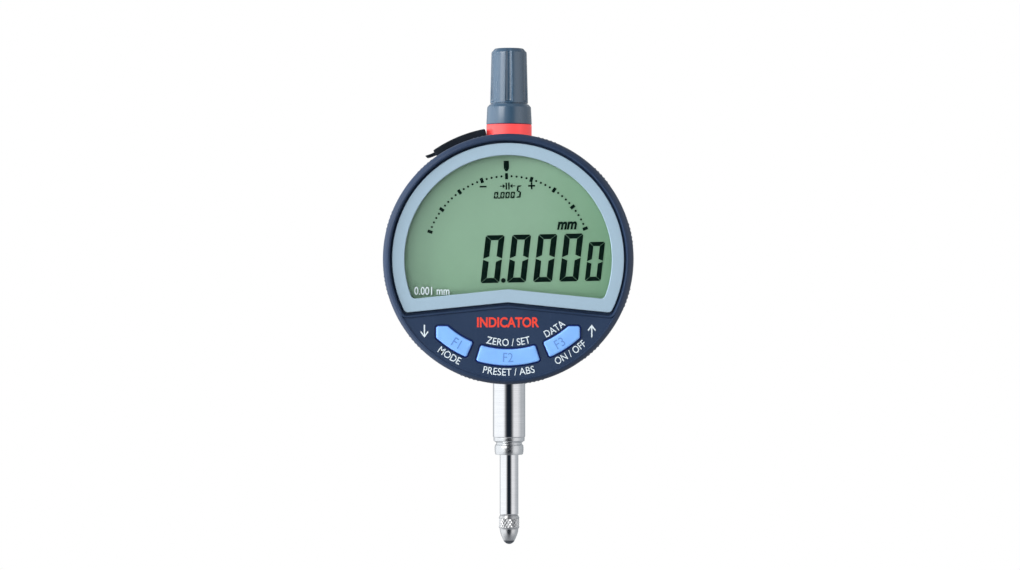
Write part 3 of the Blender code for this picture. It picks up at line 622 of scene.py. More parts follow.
def clear_lens(name):
    """Clear moulded window: polished, with faint wipe marks, and open to shadow rays."""
    material, tree, shader, coords = started(name)
    wipes = noise(tree, scaled(tree, coords, (1.0, 1.0, 0.25)), 320.0, 5.0)
    tree.links.new(spread(tree, wipes, 0.35, 0.8, 0.0, 0.045), shader.inputs["Roughness"])
    tree.links.new(mixed(tree, spread(tree, wipes, 0.3, 0.7), (0.985, 1.0, 0.99, 1.0),
                         (0.97, 0.99, 0.975, 1.0)), shader.inputs["Base Color"])
    shader.inputs["Transmission Weight"].default_value = 1.0
    shader.inputs["IOR"].default_value = 1.46
    passing = node(tree, "ShaderNodeBsdfTransparent", {"Color": (0.96, 0.98, 0.96, 1.0)})
    choice = node(tree, "ShaderNodeMixShader",
                  {0: node(tree, "ShaderNodeLightPath").outputs["Is Shadow Ray"],
                   1: shader.outputs[0], 2: passing.outputs[0]})
    tree.links.new(choice.outputs[0], tree.nodes["Material Output"].inputs[0])
    return material


def crystal_panel(name, colour):
    """Reflective liquid crystal: grey-green, darkened by painted shade towards the right edge and the bottom,
    a little greyer towards the left edge, with the faint weave of its reflector."""
    material, tree, shader, coords = started(name)
    axes = node(tree, "ShaderNodeSeparateXYZ", {0: coords})
    # masks for the painted shade towards the right edge and the bottom, and for a greyer tone towards the left
    # edge
    right = spread(tree, axes.outputs[0], 6 * MM, 26 * MM)
    left = spread(tree, axes.outputs[0], -14 * MM, -26 * MM)
    low = spread(tree, axes.outputs[2], DIAL_Z + 12 * MM, DIAL_Z - 9 * MM)
    weave = noise(tree, scaled(tree, coords, (1.0, 1.0, 0.3)), 5200.0, 2.0)
    cloud = noise(tree, coords, 45.0, 2.0)
    red, green, blue = colour
    tone = mixed(tree, spread(tree, cloud, 0.35, 0.65), rgba(colour, 0.975), rgba(colour, 1.025))
    # painted shade: the panel darkens towards the bottom
    tone = mixed(tree, maths(tree, "MULTIPLY", low, 0.35), tone,
                 (red * 0.86, green * 0.97, blue * 0.86, 1.0))
    # painted shade: the panel darkens towards the right edge
    tone = mixed(tree, maths(tree, "MULTIPLY", right, 0.9), tone,
                 (red * 0.66, green * 0.80, blue * 0.68, 1.0))
    tone = mixed(tree, maths(tree, "MULTIPLY", left, 0.4), tone,
                 (red * 0.94, green * 0.90, blue * 0.98, 1.0))
    tone = mixed(tree, spread(tree, weave, 0.35, 0.65, 0.0, 0.05), tone, rgba(colour, 0.7))
    tree.links.new(tone, shader.inputs["Base Color"])
    tree.links.new(spread(tree, weave, 0.3, 0.7, 0.38, 0.5), shader.inputs["Roughness"])
    bumped(tree, shader, weave, 0.002 * MM)
    return material


def segment_ink(name, colour):
    """Darkened crystal: nearly black, with the panel's weave just showing through."""
    material, tree, shader, coords = started(name)
    weave = noise(tree, scaled(tree, coords, (1.0, 1.0, 0.3)), 5200.0, 2.0)
    tone = mixed(tree, spread(tree, weave, 0.3, 0.7), rgba(colour), rgba(colour, 2.2))
    tree.links.new(tone, shader.inputs["Base Color"])
    tree.links.new(spread(tree, weave, 0.3, 0.7, 0.4, 0.55), shader.inputs["Roughness"])
    shader.inputs["Specular IOR Level"].default_value = 0.1
    return material


def print_ink(name, colour):
    """Pad-printed ink: a slightly uneven film, thinner in specks where the grain shows."""
    material, tree, shader, coords = started(name)
    film = noise(tree, coords, 2300.0, 3.0)
    drift = noise(tree, coords, 300.0, 2.0)
    tone = mixed(tree, spread(tree, film, 0.5, 0.78, 0.0, 0.35), rgba(colour), rgba(colour, 0.72))
    tone = mixed(tree, spread(tree, drift, 0.3, 0.7, 0.0, 0.2), tone, rgba(colour, 0.9))
    tree.links.new(tone, shader.inputs["Base Color"])
    tree.links.new(spread(tree, film, 0.3, 0.7, 0.5, 0.68), shader.inputs["Roughness"])
    bumped(tree, shader, film, 0.006 * MM)
    return material


def key_plastic(name, colour):
    """Soft translucent key: its top is finely matt, and painted shade darkens its colour down its sides
    to a dark blue, where a faint painted glow of deep blue lights it."""
    material, tree, shader, coords = started(name)
    axes = node(tree, "ShaderNodeSeparateXYZ", {0: coords})
    # mask for the painted shade down the key's sides, where they sink into the gap round the key
    side = spread(tree, axes.outputs[1], (LIP_Y + 0.03) * MM, (LIP_Y + 0.30) * MM)
    drift = noise(tree, coords, 180.0, 3.0)
    red, green, blue = colour
    tone = mixed(tree, spread(tree, drift, 0.3, 0.7), rgba(colour, 0.95), rgba(colour, 1.03))
    # painted shade: the key's sides turn dark blue
    tone = mixed(tree, side, tone, (red * 0.02, green * 0.04, blue * 0.16, 1.0))
    tree.links.new(tone, shader.inputs["Base Color"])
    tree.links.new(spread(tree, drift, 0.3, 0.7, 0.36, 0.5), shader.inputs["Roughness"])
    # painted glow: a faint deep blue emission that grows down the key's sides
    shader.inputs["Emission Color"].default_value = (0.0, 0.001, 0.02, 1.0)
    tree.links.new(spread(tree, axes.outputs[1], (LIP_Y + 0.1) * MM, (LIP_Y + 0.45) * MM),
                   shader.inputs["Emission Strength"])
    shader.inputs["Subsurface Weight"].default_value = 0.15
    shader.inputs["Subsurface Radius"].default_value = (0.3, 0.5, 1.0)
    shader.inputs["Subsurface Scale"].default_value = 0.6 * MM
    bumped(tree, shader, noise(tree, coords, 3800.0), 0.007 * MM)
    return material


def circuit_board(name, colour):
    """Circuit board: copper tracks under green mask, round pads and a glass weave."""
    material, tree, shader, coords = started(name)
    tracks = node(tree, "ShaderNodeTexBrick",
                  {"Vector": coords, "Scale": 260.0,
                   "Mortar Size": 0.018, "Color1": (0, 0, 0, 1), "Color2": (0, 0, 0, 1),
                   "Mortar": (1, 1, 1, 1)}).outputs[0]
    pads = node(tree, "ShaderNodeTexVoronoi", {"Vector": coords, "Scale": 420.0}).outputs[0]
    pad = spread(tree, pads, 0.16, 0.12)
    weave = noise(tree, coords, 2600.0, 2.0)
    tone = mixed(tree, weave, rgba(colour, 0.85), rgba(colour, 1.2))
    tone = mixed(tree, tracks, tone, rgba([colour[0] + 0.05, colour[1] * 1.8, colour[2]]))
    tone = mixed(tree, pad, tone, (0.72, 0.46, 0.16, 1.0))
    tree.links.new(tone, shader.inputs["Base Color"])
    tree.links.new(spread(tree, weave, 0.3, 0.7, 0.3, 0.42), shader.inputs["Roughness"])
    bumped(tree, shader, maths(tree, "MAXIMUM", tracks, pad), 0.02 * MM)
    return material


def lined(name, colour, line_colour, scale, axis="Z", roughness=0.25, metallic=0.0):
    """A base with fine even lines across it, as on a scale's glass or a flat lead."""
    material, tree, shader, coords = started(name)
    lines = node(tree, "ShaderNodeTexWave",
                 {"Vector": coords, "Scale": scale, "Distortion": 0.0},
                 bands_direction=axis).outputs[0]
    drift = noise(tree, coords, 400.0, 3.0)
    tone = mixed(tree, spread(tree, drift, 0.3, 0.7), rgba(colour, 0.92), rgba(colour, 1.05))
    tone = mixed(tree, spread(tree, lines, 0.55, 0.7), tone, rgba(line_colour))
    tree.links.new(tone, shader.inputs["Base Color"])
    tree.links.new(spread(tree, drift, 0.3, 0.7, roughness, roughness + 0.12),
                   shader.inputs["Roughness"])
    shader.inputs["Metallic"].default_value = metallic
    return material


# Operators ----------------------------------------------------------------------------


FINISHES = {}


def finish(name):
    """One of the finishes, made on first use from the colours in the settings."""
    if name in FINISHES:
        return FINISHES[name]
    shown = bpy.context.scene.indicator_display
    spindle = bpy.context.scene.indicator_spindle
    even, fine_rings = (1.0, 1.0, 1.0), 0.001
    recipes = {
        "navy_plastic": (moulded, shown.shell_colour),
        "silver_frame": (satin_paint, shown.band_colour),
        "clear_lens": (clear_lens,),
        "lcd_glass": (crystal_panel, shown.panel_colour),
        "segment_ink": (segment_ink, shown.ink_colour),
        "key_blue": (key_plastic, shown.key_colour),
        "key_letters": (moulded, (0.12, 0.26, 0.62), 0.5),
        "print_white": (print_ink, shown.print_colour),
        "print_red": (print_ink, shown.name_colour),
        "cap_grey": (moulded, spindle.cap_colour, 0.27, 2800.0, 0.005, 0.06, 0.15, 1.0, 0.5),
        # the red ring's last value, 0.3, is a painted glow that brightens it as if self-lit
        "signal_red": (moulded, spindle.ring_colour, 0.36, 2800.0, 0.006, 0.05, 0.25, 0.5, 0.0,
                       0.3),
        "black_rubber": (rubber, (0.003, 0.006, 0.011)),
        "polished_steel": (turned_metal, (0.80, 0.80, 0.81), 0.065, 7000.0, 0.0006),
        "satin_steel": (turned_metal, (0.74, 0.75, 0.76), 0.26, 6000.0, fine_rings),
        "knurled_steel": (turned_metal, (0.68, 0.68, 0.68), 0.22, 5000.0),
        "spring_steel": (turned_metal, (0.52, 0.52, 0.54), 0.26, 3500.0, 0.002, even, 0.12),
        "carbide": (turned_metal, (0.20, 0.21, 0.23), 0.14, 3000.0, fine_rings),
        "bronze": (sintered, (0.55, 0.35, 0.14)),
        "board_green": (circuit_board, (0.02, 0.13, 0.06)),
        "chip_black": (moulded, (0.018, 0.018, 0.019), 0.5, 5200.0, 0.012),
        "amber_film": (lined, (0.45, 0.20, 0.04), (0.75, 0.38, 0.12), 700.0, "X", 0.3, 0.3),
        "scale_glass": (lined, (0.55, 0.62, 0.60), (0.10, 0.11, 0.12), 800.0),
        "inner_plastic": (moulded, (0.030, 0.034, 0.042), 0.5),
        "white_plastic": (moulded, (0.72, 0.72, 0.69), 0.45, 3000.0, 0.006, 0.05),
        "gold_plate": (turned_metal, (0.83, 0.60, 0.26), 0.2, 3500.0, fine_rings, even),
    }
    maker, *values = recipes[name]
    FINISHES[name] = maker(name, *values)
    return FINISHES[name]


class INDICATOR_OT_display_shell(bpy.types.Operator):
    """Build the turning shell with its bevel, its rim and its ribbed grip patches"""
    bl_idname = "indicator.display_shell"
    bl_label = "Display shell"

    def execute(self, context):
        """The rim's radius is the profile's, plus a rib that rises and falls every two degrees
        inside each patch and fades out at the patch's sides and ends."""
        settings = context.scene.indicator_display
        back = HOUSING_HIGH[1]
        profile = rounded([(28.7, FACE_Y + 0.1), (29.15, FACE_Y + 0.1), (29.22, LIP_Y + 0.06),
                           (29.75, -16.2), (30.3, -15.25), (RIM_R, -14.35), (RIM_R, back),
                           (28.5, back), (28.5, -15.0)],
                          (0, 0, 0.1, 0.3, 0.5, 0.7, 0.25, 0.1, 0), 4)
        flank = np.stack([np.full(18, RIM_R), np.linspace(-13.8, -7.0, 18)], -1)
        split = int(np.argmax((profile[:, 0] > RIM_R - 1e-4) & (profile[:, 1] > -13.9)))
        profile = np.concatenate([profile[:split], flank, profile[split:]])
        degree = np.arange(1440) / 4.0
        spacing = 360.0 / max(1, settings.grip_patches)
        off_centre = np.abs((degree - 11.5 + spacing / 2) % spacing - spacing / 2)
        patch = 1 - smoothstep(off_centre, 4.6, 6.2)
        rib = 0.5 + 0.5 * np.cos(TAU * degree / 2)
        depth = profile[:, 1]
        reach = smoothstep(depth, -13.9, -13.0) * (1 - smoothstep(depth, -8.2, -7.2))
        reach = reach * (profile[:, 0] > RIM_R - 0.01)
        lift = settings.grip_height / MM * reach[:, None] * (patch * rib)[None, :]
        radius = profile[:, :1] + lift * (settings.grip_patches > 0)
        loops = swept(radius, depth[:, None], np.radians(degree), "Y")
        piece("display_shell", [loft(loops, ring=True)], "display", finish("navy_plastic"),
              ["display_housing"])
        return {"FINISHED"}


class INDICATOR_OT_face_plate(bpy.types.Operator):
    """Build the face plate below the window, with an opening for each key"""
    bl_idname = "indicator.face_plate"
    bl_label = "Face plate"

    def execute(self, context):
        """The outline is an arc closed by the V, and each hole is a key's outline grown by
        its clearance."""
        edge, drop = 29.3, 11.9
        stretch = 1 + V_SLOPE ** 2
        x = (math.sqrt((V_SLOPE * drop) ** 2 - stretch * (drop ** 2 - edge ** 2))
             - V_SLOPE * drop) / stretch
        corner = math.atan2(-(drop + V_SLOPE * x), x)
        outline = np.concatenate([arc(edge, -math.pi - corner, corner, 140), [(0.0, -drop)]])
        holes = [grown(key_outline(key), KEY_CLEARANCE) for key in KEY_ANGLES]
        piece("face_plate", [plate([outline, *holes], FACE_Y, -13.7, 0.12)], "display",
              finish("navy_plastic"))
        return {"FINISHED"}


class INDICATOR_OT_window(bpy.types.Operator):
    """Build the raised bead, the recess, the satin band and the clear lens"""
    bl_idname = "indicator.window"
    bl_label = "Window"

    def execute(self, context):
        """The bead is one profile of (outward, depth) steps carried round the D. The band
        joins an outer D to an inner one, with a small round along each edge."""
        path = dee(28.75, 11.3, 1.3)
        profile = rounded([(-0.9, -14.55), (-0.12, -14.55), (-0.04, -15.9), (0.12, LIP_Y),
                           (0.48, LIP_Y), (0.66, FACE_Y + 0.1), (0.66, -14.2), (-0.9, -14.2)],
                          (0, 0.1, 0.1, 0.12, 0.12, 0.06, 0, 0), 4)
        bead = [at_depth(grown(path, out), depth) for out, depth in profile]
        piece("window_bead", [loft(bead, ring=True)], "display", finish("navy_plastic"))
        outer, inner = dee(28.15, 10.55, 1.0), dee(25.2, 7.35, 1.1)
        front, back = BAND_LOW[1], BAND_HIGH[1]
        soft = [(0.0, 0.16), (0.02, 0.08), (0.08, 0.02), (0.16, 0.0)]
        band = ([at_depth(outer, back)] + [at_depth(grown(outer, -step), front + sink)
                                          for step, sink in soft]
                + [at_depth(grown(inner, step), front + sink) for step, sink in soft[::-1]]
                + [at_depth(inner, front + 1.1), at_depth(grown(inner, 0.25), back)])
        piece("window_band", [loft(band, ring=True)], "display", finish("silver_frame"),
              ["window_frame"])
        glass = dee(26.2, 8.35, 1.0)
        rows = [(0.06, LENS_HIGH[1]), (0.0, LENS_HIGH[1] - 0.06), (0.0, LENS_LOW[1] + 0.06),
                (0.06, LENS_LOW[1])]
        lens = [at_depth(grown(glass, -step), depth) for step, depth in rows]
        piece("clear_window", [loft(lens)], "display", finish("clear_lens"),
              ["window_lens"])
        return {"FINISHED"}


SEGMENTS = {"0": "abcdef", "1": "bc", "2": "abged", "3": "abgcd", "4": "fgbc", "5": "afgcd",
            "6": "afgedc", "7": "abc", "8": "abcdefg", "9": "abcdfg"}


def figure(digit, x, z, width, height, stroke, level, gap=0.065, lean=0.134):
    """A seven-segment figure as flat outlines: the outer corners are cut, a thin gap runs
    from each cut to the inner corner, the upright strokes end at mid height in a slope, and
    all lean together. Stroke and level are the thickness of upright and level segments."""
    w, h, m, s, b, g = width, height, height / 2, stroke, level, gap
    cut, rest, rise = 0.28 * s, 0.0085 * h, 0.05 * h
    near, far = cut / 2 - g / 2, cut / 2 + g / 2
    top = [(s + g, h - b), (far, h - near), (cut, h), (w - cut, h), (w - far, h - near),
           (w - s - g, h - b)]
    side = [(0.0, m + rest), (s, m + rest + rise), (s, h - b - g), (near, h - far), (0.0, h - cut)]
    shapes = {
        "a": top, "d": [(px, h - pz) for px, pz in top], "f": side,
        "b": [(w - px, pz) for px, pz in side], "e": [(px, h - pz) for px, pz in side],
        "c": [(w - px, h - pz) for px, pz in side],
        "g": [(0.5 * s, m), (s, m + 0.45 * b), (w - s, m + 0.45 * b), (w - 0.5 * s, m),
              (w - s, m - 0.45 * b), (s, m - 0.45 * b)],
    }
    result = []
    for letter in SEGMENTS[digit]:
        outline = np.array(shapes[letter])
        result.append(np.stack([x + outline[:, 0] + lean * outline[:, 1], z + outline[:, 1]], -1))
    return result


def disc(x, z, radius, steps=18):
    """A round dot's outline."""
    return arc(radius, 0, TAU * (1 - 1 / steps), steps) + (x, z)


def bar(x0, z0, x1, z1):
    """An upright rectangle's outline."""
    return np.array([(x0, z0), (x1, z0), (x1, z1), (x0, z1)])


class INDICATOR_OT_figures(bpy.types.Operator):
    """Build the panel's reading, its arc of dots and ticks, and its small marks"""
    bl_idname = "indicator.figures"
    bl_label = "Figures"

    def execute(self, context):
        """Dots stand at equal angles on a ring. Each fifth is a tick: a rectangle turned to
        point at the dial's centre."""
        settings = context.scene.indicator_display
        shapes = []
        figures = [letter for letter in settings.reading if letter.isdigit()]
        for letter, x in zip(figures, (-6.88, -0.45, 5.93, 12.28, 18.6)):
            shapes += figure(letter, x, -5.76, 4.6, 11.62, 1.42, 1.22, 0.05)
        shapes += figure(settings.last_figure, 18.5, -5.76, 3.88, 9.5, 1.16, 1.04, 0.05)
        shapes.append(disc(-1.28, -5.2, 0.58))
        for letter, x in zip("0000", (-3.25, -1.7, -0.45, 0.8)):
            shapes += figure(letter, x, 14.75, 1.0, 1.6, 0.34, 0.31, 0.015)
        shapes.append(disc(-1.95, 14.87, 0.21, 10))
        shapes += figure("5", 2.15, 14.85, 1.15, 3.0, 0.42, 0.39, 0.02)
        spacing = math.radians(17.4) / 5
        for index in range(-20, 21):
            angle = math.pi / 2 - index * spacing
            along = np.array([math.cos(angle), math.sin(angle)])
            if index % 5:
                shapes.append(disc(*(SCALE_R * along), 0.27, 12))
                continue
            half, reach = (0.36, 0.75) if index == 0 else (0.38, 0.62)
            aside = np.array([along[1], -along[0]])
            centre = SCALE_R * along
            shapes.append(np.array([centre + aside * half - along * reach,
                                    centre + aside * half + along * reach,
                                    centre - aside * half + along * reach,
                                    centre - aside * half - along * reach]))
        shapes.append(np.array([(-0.65, 23.9), (-0.65, 22.1), (-0.25, 21.35), (0.25, 21.35),
                                (0.65, 22.1), (0.65, 23.9)]))
        shapes += [bar(-6.6, 17.52, -4.9, 17.92), bar(5.2, 17.49, 6.9, 17.89),
                   bar(5.85, 16.84, 6.25, 18.54)]
        shapes += [bar(-0.28, 16.9, 0.06, 18.6), bar(0.36, 16.9, 0.70, 18.6),
                   bar(-1.66, 17.64, -0.86, 17.86), bar(1.29, 17.64, 2.09, 17.86),
                   np.array([(-0.96, 17.2), (-0.36, 17.75), (-0.96, 18.3)]),
                   np.array([(1.39, 17.2), (1.39, 18.3), (0.79, 17.75)])]
        front = PANEL_LOW[1] - 0.05
        shells = [prism(shape, front, PANEL_LOW[1]) for shape in shapes]
        shells.append(shifted(lettering("mm", 2.85, 0.84, 0.04, 0.05, 0.24), 14.45, front, 6.86))
        tilt = settings.panel_tilt
        turn = np.array([[math.cos(tilt), 0, math.sin(tilt)], [0, 1, 0],
                         [-math.sin(tilt), 0, math.cos(tilt)]])
        shells = [(points @ turn, faces) for points, faces in shells]
        piece("panel_figures", shells, "display", finish("segment_ink"))
        mark = shifted(lettering("0.001 mm", 1.95, 0.79, 0.008), -18.55, LENS_LOW[1] - 0.025, -8.7)
        piece("step_mark", [mark], "display", finish("print_white"))
        return {"FINISHED"}


def arrow(x, z, side):
    """An arrow's outline: a thin shaft that opens into two swept strokes. Side is 1 for up
    and -1 for down."""
    half, tip = 0.15, 1.52
    right = np.array([(half, -tip), (half, tip - 0.62), (0.8, tip - 1.5), (1.0, tip - 1.26)])
    outline = np.concatenate([right, [(0.0, tip + 0.06)], right[::-1] * (-1, 1)])
    return outline * (1, side) + (x, z)


class INDICATOR_OT_legends(bpy.types.Operator):
    """Print the key legends, the two arrows and the plain word above the keys"""
    bl_idname = "indicator.legends"
    bl_label = "Legends"

    def execute(self, context):
        """Each legend is bent along a ring round the dial's centre, tops inward."""
        depth = FACE_Y - 0.01
        places = [("MODE", 0.88, 27.45, -121.2), ("ZERO / SET", 0.87, 20.25, -89.8),
                  ("PRESET / ABS", 0.905, 27.45, -89.6), ("DATA", 0.84, 20.4, -56.5),
                  ("ON / OFF", 0.84, 27.4, -56.4)]
        shells = [bent(lettering(text, 1.74, narrow, 0.004), radius, degrees, depth)
                  for text, narrow, radius, degrees in places]
        for shape in (arrow(-20.3, -17.5, -1), arrow(20.3, -17.5, 1)):
            shells.append(prism(shape, depth - 0.025, depth + 0.025))
        piece("key_legends", shells, "display", finish("print_white"))
        word = shifted(lettering("INDICATOR", 2.5, 0.84, 0.03), 0.0, depth, -16.6)
        piece("plain_name", [word], "display", finish("print_red"))
        return {"FINISHED"}


class INDICATOR_OT_keys(bpy.types.Operator):
    """Build the three soft keys with their rounded edges and faint letters"""
    bl_idname = "indicator.keys"
    bl_label = "Keys"

    def execute(self, context):
        """Loops step out to a flange inside the gap, back to the outline and in round the
        edge. The top then runs from the last loop to the key's middle line, rising as one less
        the square of the way left."""
        top = LIP_Y - 0.1
        edge = [(0.0, -13.0), (0.0, top + 1.15), (-0.26, top + 1.1), (-0.26, top + 0.72),
                (-0.2, top + 0.64), (0.0, top + 0.6), (0.0, top + 0.42), (0.05, top + 0.22),
                (0.15, top + 0.1), (0.30, top + 0.045), (0.42, top + 0.03)]
        for number, (key, degrees) in enumerate(KEY_ANGLES.items(), 1):
            outline = key_outline(key)
            reach = 15.0 if key == "middle" else 7.0
            rows = [at_depth(grown(outline, -step), depth) for step, depth in edge]
            rim = grown(outline, -edge[-1][0])
            angle = np.arctan2(rim[:, 1], rim[:, 0])
            middle = math.radians(degrees)
            angle = np.clip(angle, middle - math.radians(reach), middle + math.radians(reach))
            line = np.stack([KEY_MID_R * np.cos(angle), KEY_MID_R * np.sin(angle)], -1)
            for share in (0.2, 0.45, 0.72, 1.0):
                rise = 0.03 * (1 - (1 - share) ** 2)
                rows.append(at_depth(rim + (line - rim) * share, edge[-1][1] - rise))
            points, faces = loft(rows, caps=False)
            faces.append(list(range(len(outline))))
            body = f"{key}_key"
            piece(f"soft_key_{key}", [(points, faces)], body, finish("key_blue"),
                  [f"key_{key}"])
            letters = bent(lettering(f"F{number}", 2.25, 0.88, 0.0, 0.03), KEY_MID_R, degrees,
                           top - 0.004)
            piece(f"key_letters_{key}", [letters], body, finish("key_letters"))
        return {"FINISHED"}


class INDICATOR_OT_case(bpy.types.Operator):
    """Build the fixed rear case with its data port opening, its pad and its neck"""
    bl_idname = "indicator.case"
    bl_label = "Rear case"

    def execute(self, context):
        """The closed wall profile is turned round y. Cells of the outer and the inner wall
        inside the port's angle and depth are left out and joined by four linings."""
        outer, inner = CASE_R, CASE_R - 2.0
        front, back = -6.3, CASE_HIGH[1]
        port_low, port_high = -0.85, 2.45
        wall = [(outer, port_low), (outer, port_high), (outer, back - 0.3),
                (outer - 0.06, back - 0.09), (outer - 0.25, back), (29.15, back), (29.15, 6.3),
                (28.05, 6.3), (28.05, back),
                (inner, back), (inner, port_high), (inner, port_low), (inner, -4.6), (4.3, -4.6),
                (4.3, -8.2), (6.5, -8.2), (6.5, front), (25.9, front), (25.9, -5.5), (27.3, -5.5),
                (27.3, front), (outer - 0.5, front), (outer - 0.2, front + 0.06),
                (outer - 0.05, front + 0.22), (outer, front + 0.5)]
        half = math.asin(4.7 / outer)
        sides = [PORT_ANGLE - half, PORT_ANGLE + half]
        angle = np.unique(np.concatenate([np.arange(240) * TAU / 240, sides]))
        profile = np.array(wall)
        points, faces = loft(swept(profile[:, :1], profile[:, 1:], angle, "Y"), ring=True)
        count = len(angle)
        first, last = np.searchsorted(angle, np.array(sides) - 1e-9).tolist()
        outer_low, outer_high, inner_high, inner_low = (row * count for row in (0, 1, 10, 11))
        inside = np.arange(first, last)
        gone = set((outer_low + inside).tolist()) | set((inner_high + inside).tolist())
        faces = [face for face in faces if face[0] not in gone]
        for near, far in ((outer_low, inner_low), (outer_high, inner_high)):
            faces += np.stack([near + inside, near + inside + 1, far + inside + 1, far + inside],
                              -1).tolist()
        for column in (first, last):
            faces.append([outer_low + column, outer_high + column, inner_high + column,
                          inner_low + column])
        neck = rounded([(3.4, 27.2), (5.3, 27.2), (5.3, 30.1), (3.9, 30.15), (3.9, 36.0),
                        (3.4, 36.0)], (0, 0, 0.25, 0.2, 0.25, 0.1), 4)
        piece("case_shell", [(points, faces), turned(neck, 96)], "case", finish("navy_plastic"),
              ["rear_case"])
        return {"FINISHED"}


def screw(x, z, base, top, head, shank_end, shank):
    """A cross-recessed screw along y: the head's height is a low dome less the recess,
    which is deep where a point lies inside either arm of the cross."""
    angle = np.arange(96) * TAU / 96
    radius = np.concatenate([[head, head, head * 0.985, head * 0.93],
                             np.linspace(head * 0.88, 0.03, 26), [0.0]])
    height = np.concatenate([[base, top - 0.18, top - 0.07, top - 0.015], np.full(27, top)])
    across, up = radius[:, None] * np.cos(angle), radius[:, None] * np.sin(angle)
    arm, reach, soft = head * 0.14, head * 0.58, head * 0.07

    def inside(value, limit):
        """A share that falls from one to nought across a soft edge at the limit."""
        return np.clip((limit - np.abs(value)) / soft + 0.5, 0, 1)

    upright, level = inside(across, arm) * inside(up, reach), inside(up, arm) * inside(across, reach)
    cross = np.maximum(upright, level)
    depth = height[:, None] - 0.42 * head * cross * (height[:, None] >= top)
    rows = np.stack([across + x, depth, up + z], -1)
    low = [np.stack([size * np.cos(angle) + x, np.full(96, level), size * np.sin(angle) + z], -1)
           for size, level in ((0.0, shank_end), (shank, shank_end), (shank, base))]
    return loft(np.concatenate([low, rows]), caps=False)


class INDICATOR_OT_back(bpy.types.Operator):
    """Build the back cover, the lug and their screws"""
    bl_idname = "indicator.back"
    bl_label = "Back cover and lug"

    def execute(self, context):
        """The cover and the lug's ear are filled outlines with rounded edges. The lug's base
        is a turned disc with a small fillet."""
        low, high = COVER_LOW[1], COVER_HIGH[1]
        screws = [COVER_SCREW_R * np.array([math.cos(turn), math.sin(turn)])
                  for turn in np.radians([45, 135, 225, 315])]
        holes = [disc(x, z, 1.9, 40) for x, z in screws]
        holes.append(disc(*LID_CENTRE, LID_HOLE_R, 72))
        outline = arc(CASE_R, 0, TAU * (1 - 1 / 240), 240)
        seat = rounded([(0.9, low + 0.05), (2.2, low + 0.05), (2.2, 8.3), (0.9, 8.3)], 0.05)
        floor = [turned(seat, 40, "Y", (x, z)) for x, z in screws]
        piece("rear_cover", [plate([outline, *holes], low, high, 0.28), *floor], "case",
              finish("navy_plastic"), ["back_cover"])
        for number, (x, z) in enumerate(screws, 1):
            piece(f"cover_cross_screw_{number}", [screw(x, z, 8.6, 9.3, 1.6, 0.5, 0.6)], "case",
                  finish("spring_steel"), [f"cover_screw_{number}"], 40.0)
        base = rounded([(0.0, LUG_LOW[1]), (9.5, LUG_LOW[1]), (9.5, 11.2), (0.0, 11.2)],
                       (0, 0.2, 0.4, 0), 5, closed=False)
        hole_y, half, ear_r = 15.2, 2.5, 5.1
        tip = arc(ear_r, DOWN, -DOWN, 48) + (hole_y, 0.0)
        ear = np.concatenate([[(10.9, ear_r), (10.9, -ear_r)], tip])
        eye = arc(3.25, 0, TAU * (1 - 1 / 72), 72) + (hole_y, 0.0)
        foot = np.array([(10.9, -half - 0.7), (11.2, -half - 0.55), (11.75, -half), (11.75, half),
                         (11.2, half + 0.55), (10.9, half + 0.7)])
        fillet = loft([np.stack([foot[:, 1], foot[:, 0], np.full(len(foot), z)], -1)
                       for z in (-ear_r, ear_r)])
        ear_plate = plate([ear, eye], -half, half, 0.4, "X")
        piece("rear_lug", [turned(base, 144, "Y", ring=False), ear_plate, fillet], "case",
              finish("navy_plastic"), ["lug"])
        for number, side in enumerate((-1, 1), 1):
            piece(f"lug_cross_screw_{number}",
                  [screw(0.0, side * 7.2, 11.25, 12.5, 1.6, 8.0, 0.9)], "case",
                  finish("spring_steel"), [f"lug_screw_{number}"], 40.0)
        return {"FINISHED"}


class INDICATOR_OT_battery_lid(bpy.types.Operator):
    """Build the battery cover with its coin slot"""
    bl_idname = "indicator.battery_lid"
    bl_label = "Battery cover"

    def execute(self, context):
        """Loops pass from the round rim to the slot's rectangle, whose edge lies at its half
        length over the cosine or its half width over the sine, whichever is nearer."""
        x, z = LID_CENTRE
        edge, low, top = (LID_HIGH[0] - LID_LOW[0]) / 2, LID_LOW[1], LID_HIGH[1]
        angle = np.arange(240) * TAU / 240 + 1e-6
        slot = np.minimum(4.5 / np.abs(np.cos(angle)), 0.7 / np.abs(np.sin(angle)))
        around = np.ones_like(angle)
        radii = [around * 0.0, around * edge, around * edge, around * (edge - 0.05),
                 around * (edge - 0.18), around * (edge - 0.38)]
        depths = [low, low, top - 0.35, top - 0.14, top - 0.03, top]
        for share in (0.25, 0.6, 1.0):
            radii.append((edge - 0.38) * (1 - share) + (slot + 0.07) * share)
            depths.append(top)
        radii += [slot + 0.01, slot, slot, slot * 0.0]
        depths += [top - 0.05, top - 0.12, top - 0.7, top - 0.7]
        rows = swept(np.array(radii), np.array(depths)[:, None], angle, "Y") + (x, 0.0, z)
        dot = turned(rounded([(0.0, top - 0.1), (0.32, top - 0.1), (0.32, top + 0.04),
                              (0.0, top + 0.06)], (0, 0, 0.04, 0), closed=False),
                     24, "Y", (x, z + 3.4), ring=False)
        piece("coin_slot_lid", [loft(rows, caps=False), dot], "battery_lid",
              finish("inner_plastic"), ["battery_cover"])
        return {"FINISHED"}


def rim_block(half_width, half_depth, low, high, round_edge):
    """A rounded block at the data port: between two radii, along the rim and along y."""
    outline = rounded([(-half_width, -half_depth), (half_width, -half_depth),
                       (half_width, half_depth), (-half_width, half_depth)], round_edge)
    loops = []
    for reach in (low, high):
        across = outline[:, 0]
        loops.append(np.stack([reach * math.cos(PORT_ANGLE) - across * math.sin(PORT_ANGLE),
                               outline[:, 1] + PORT_Y,
                               reach * math.sin(PORT_ANGLE) + across * math.cos(PORT_ANGLE)], -1))
    return loft(loops)


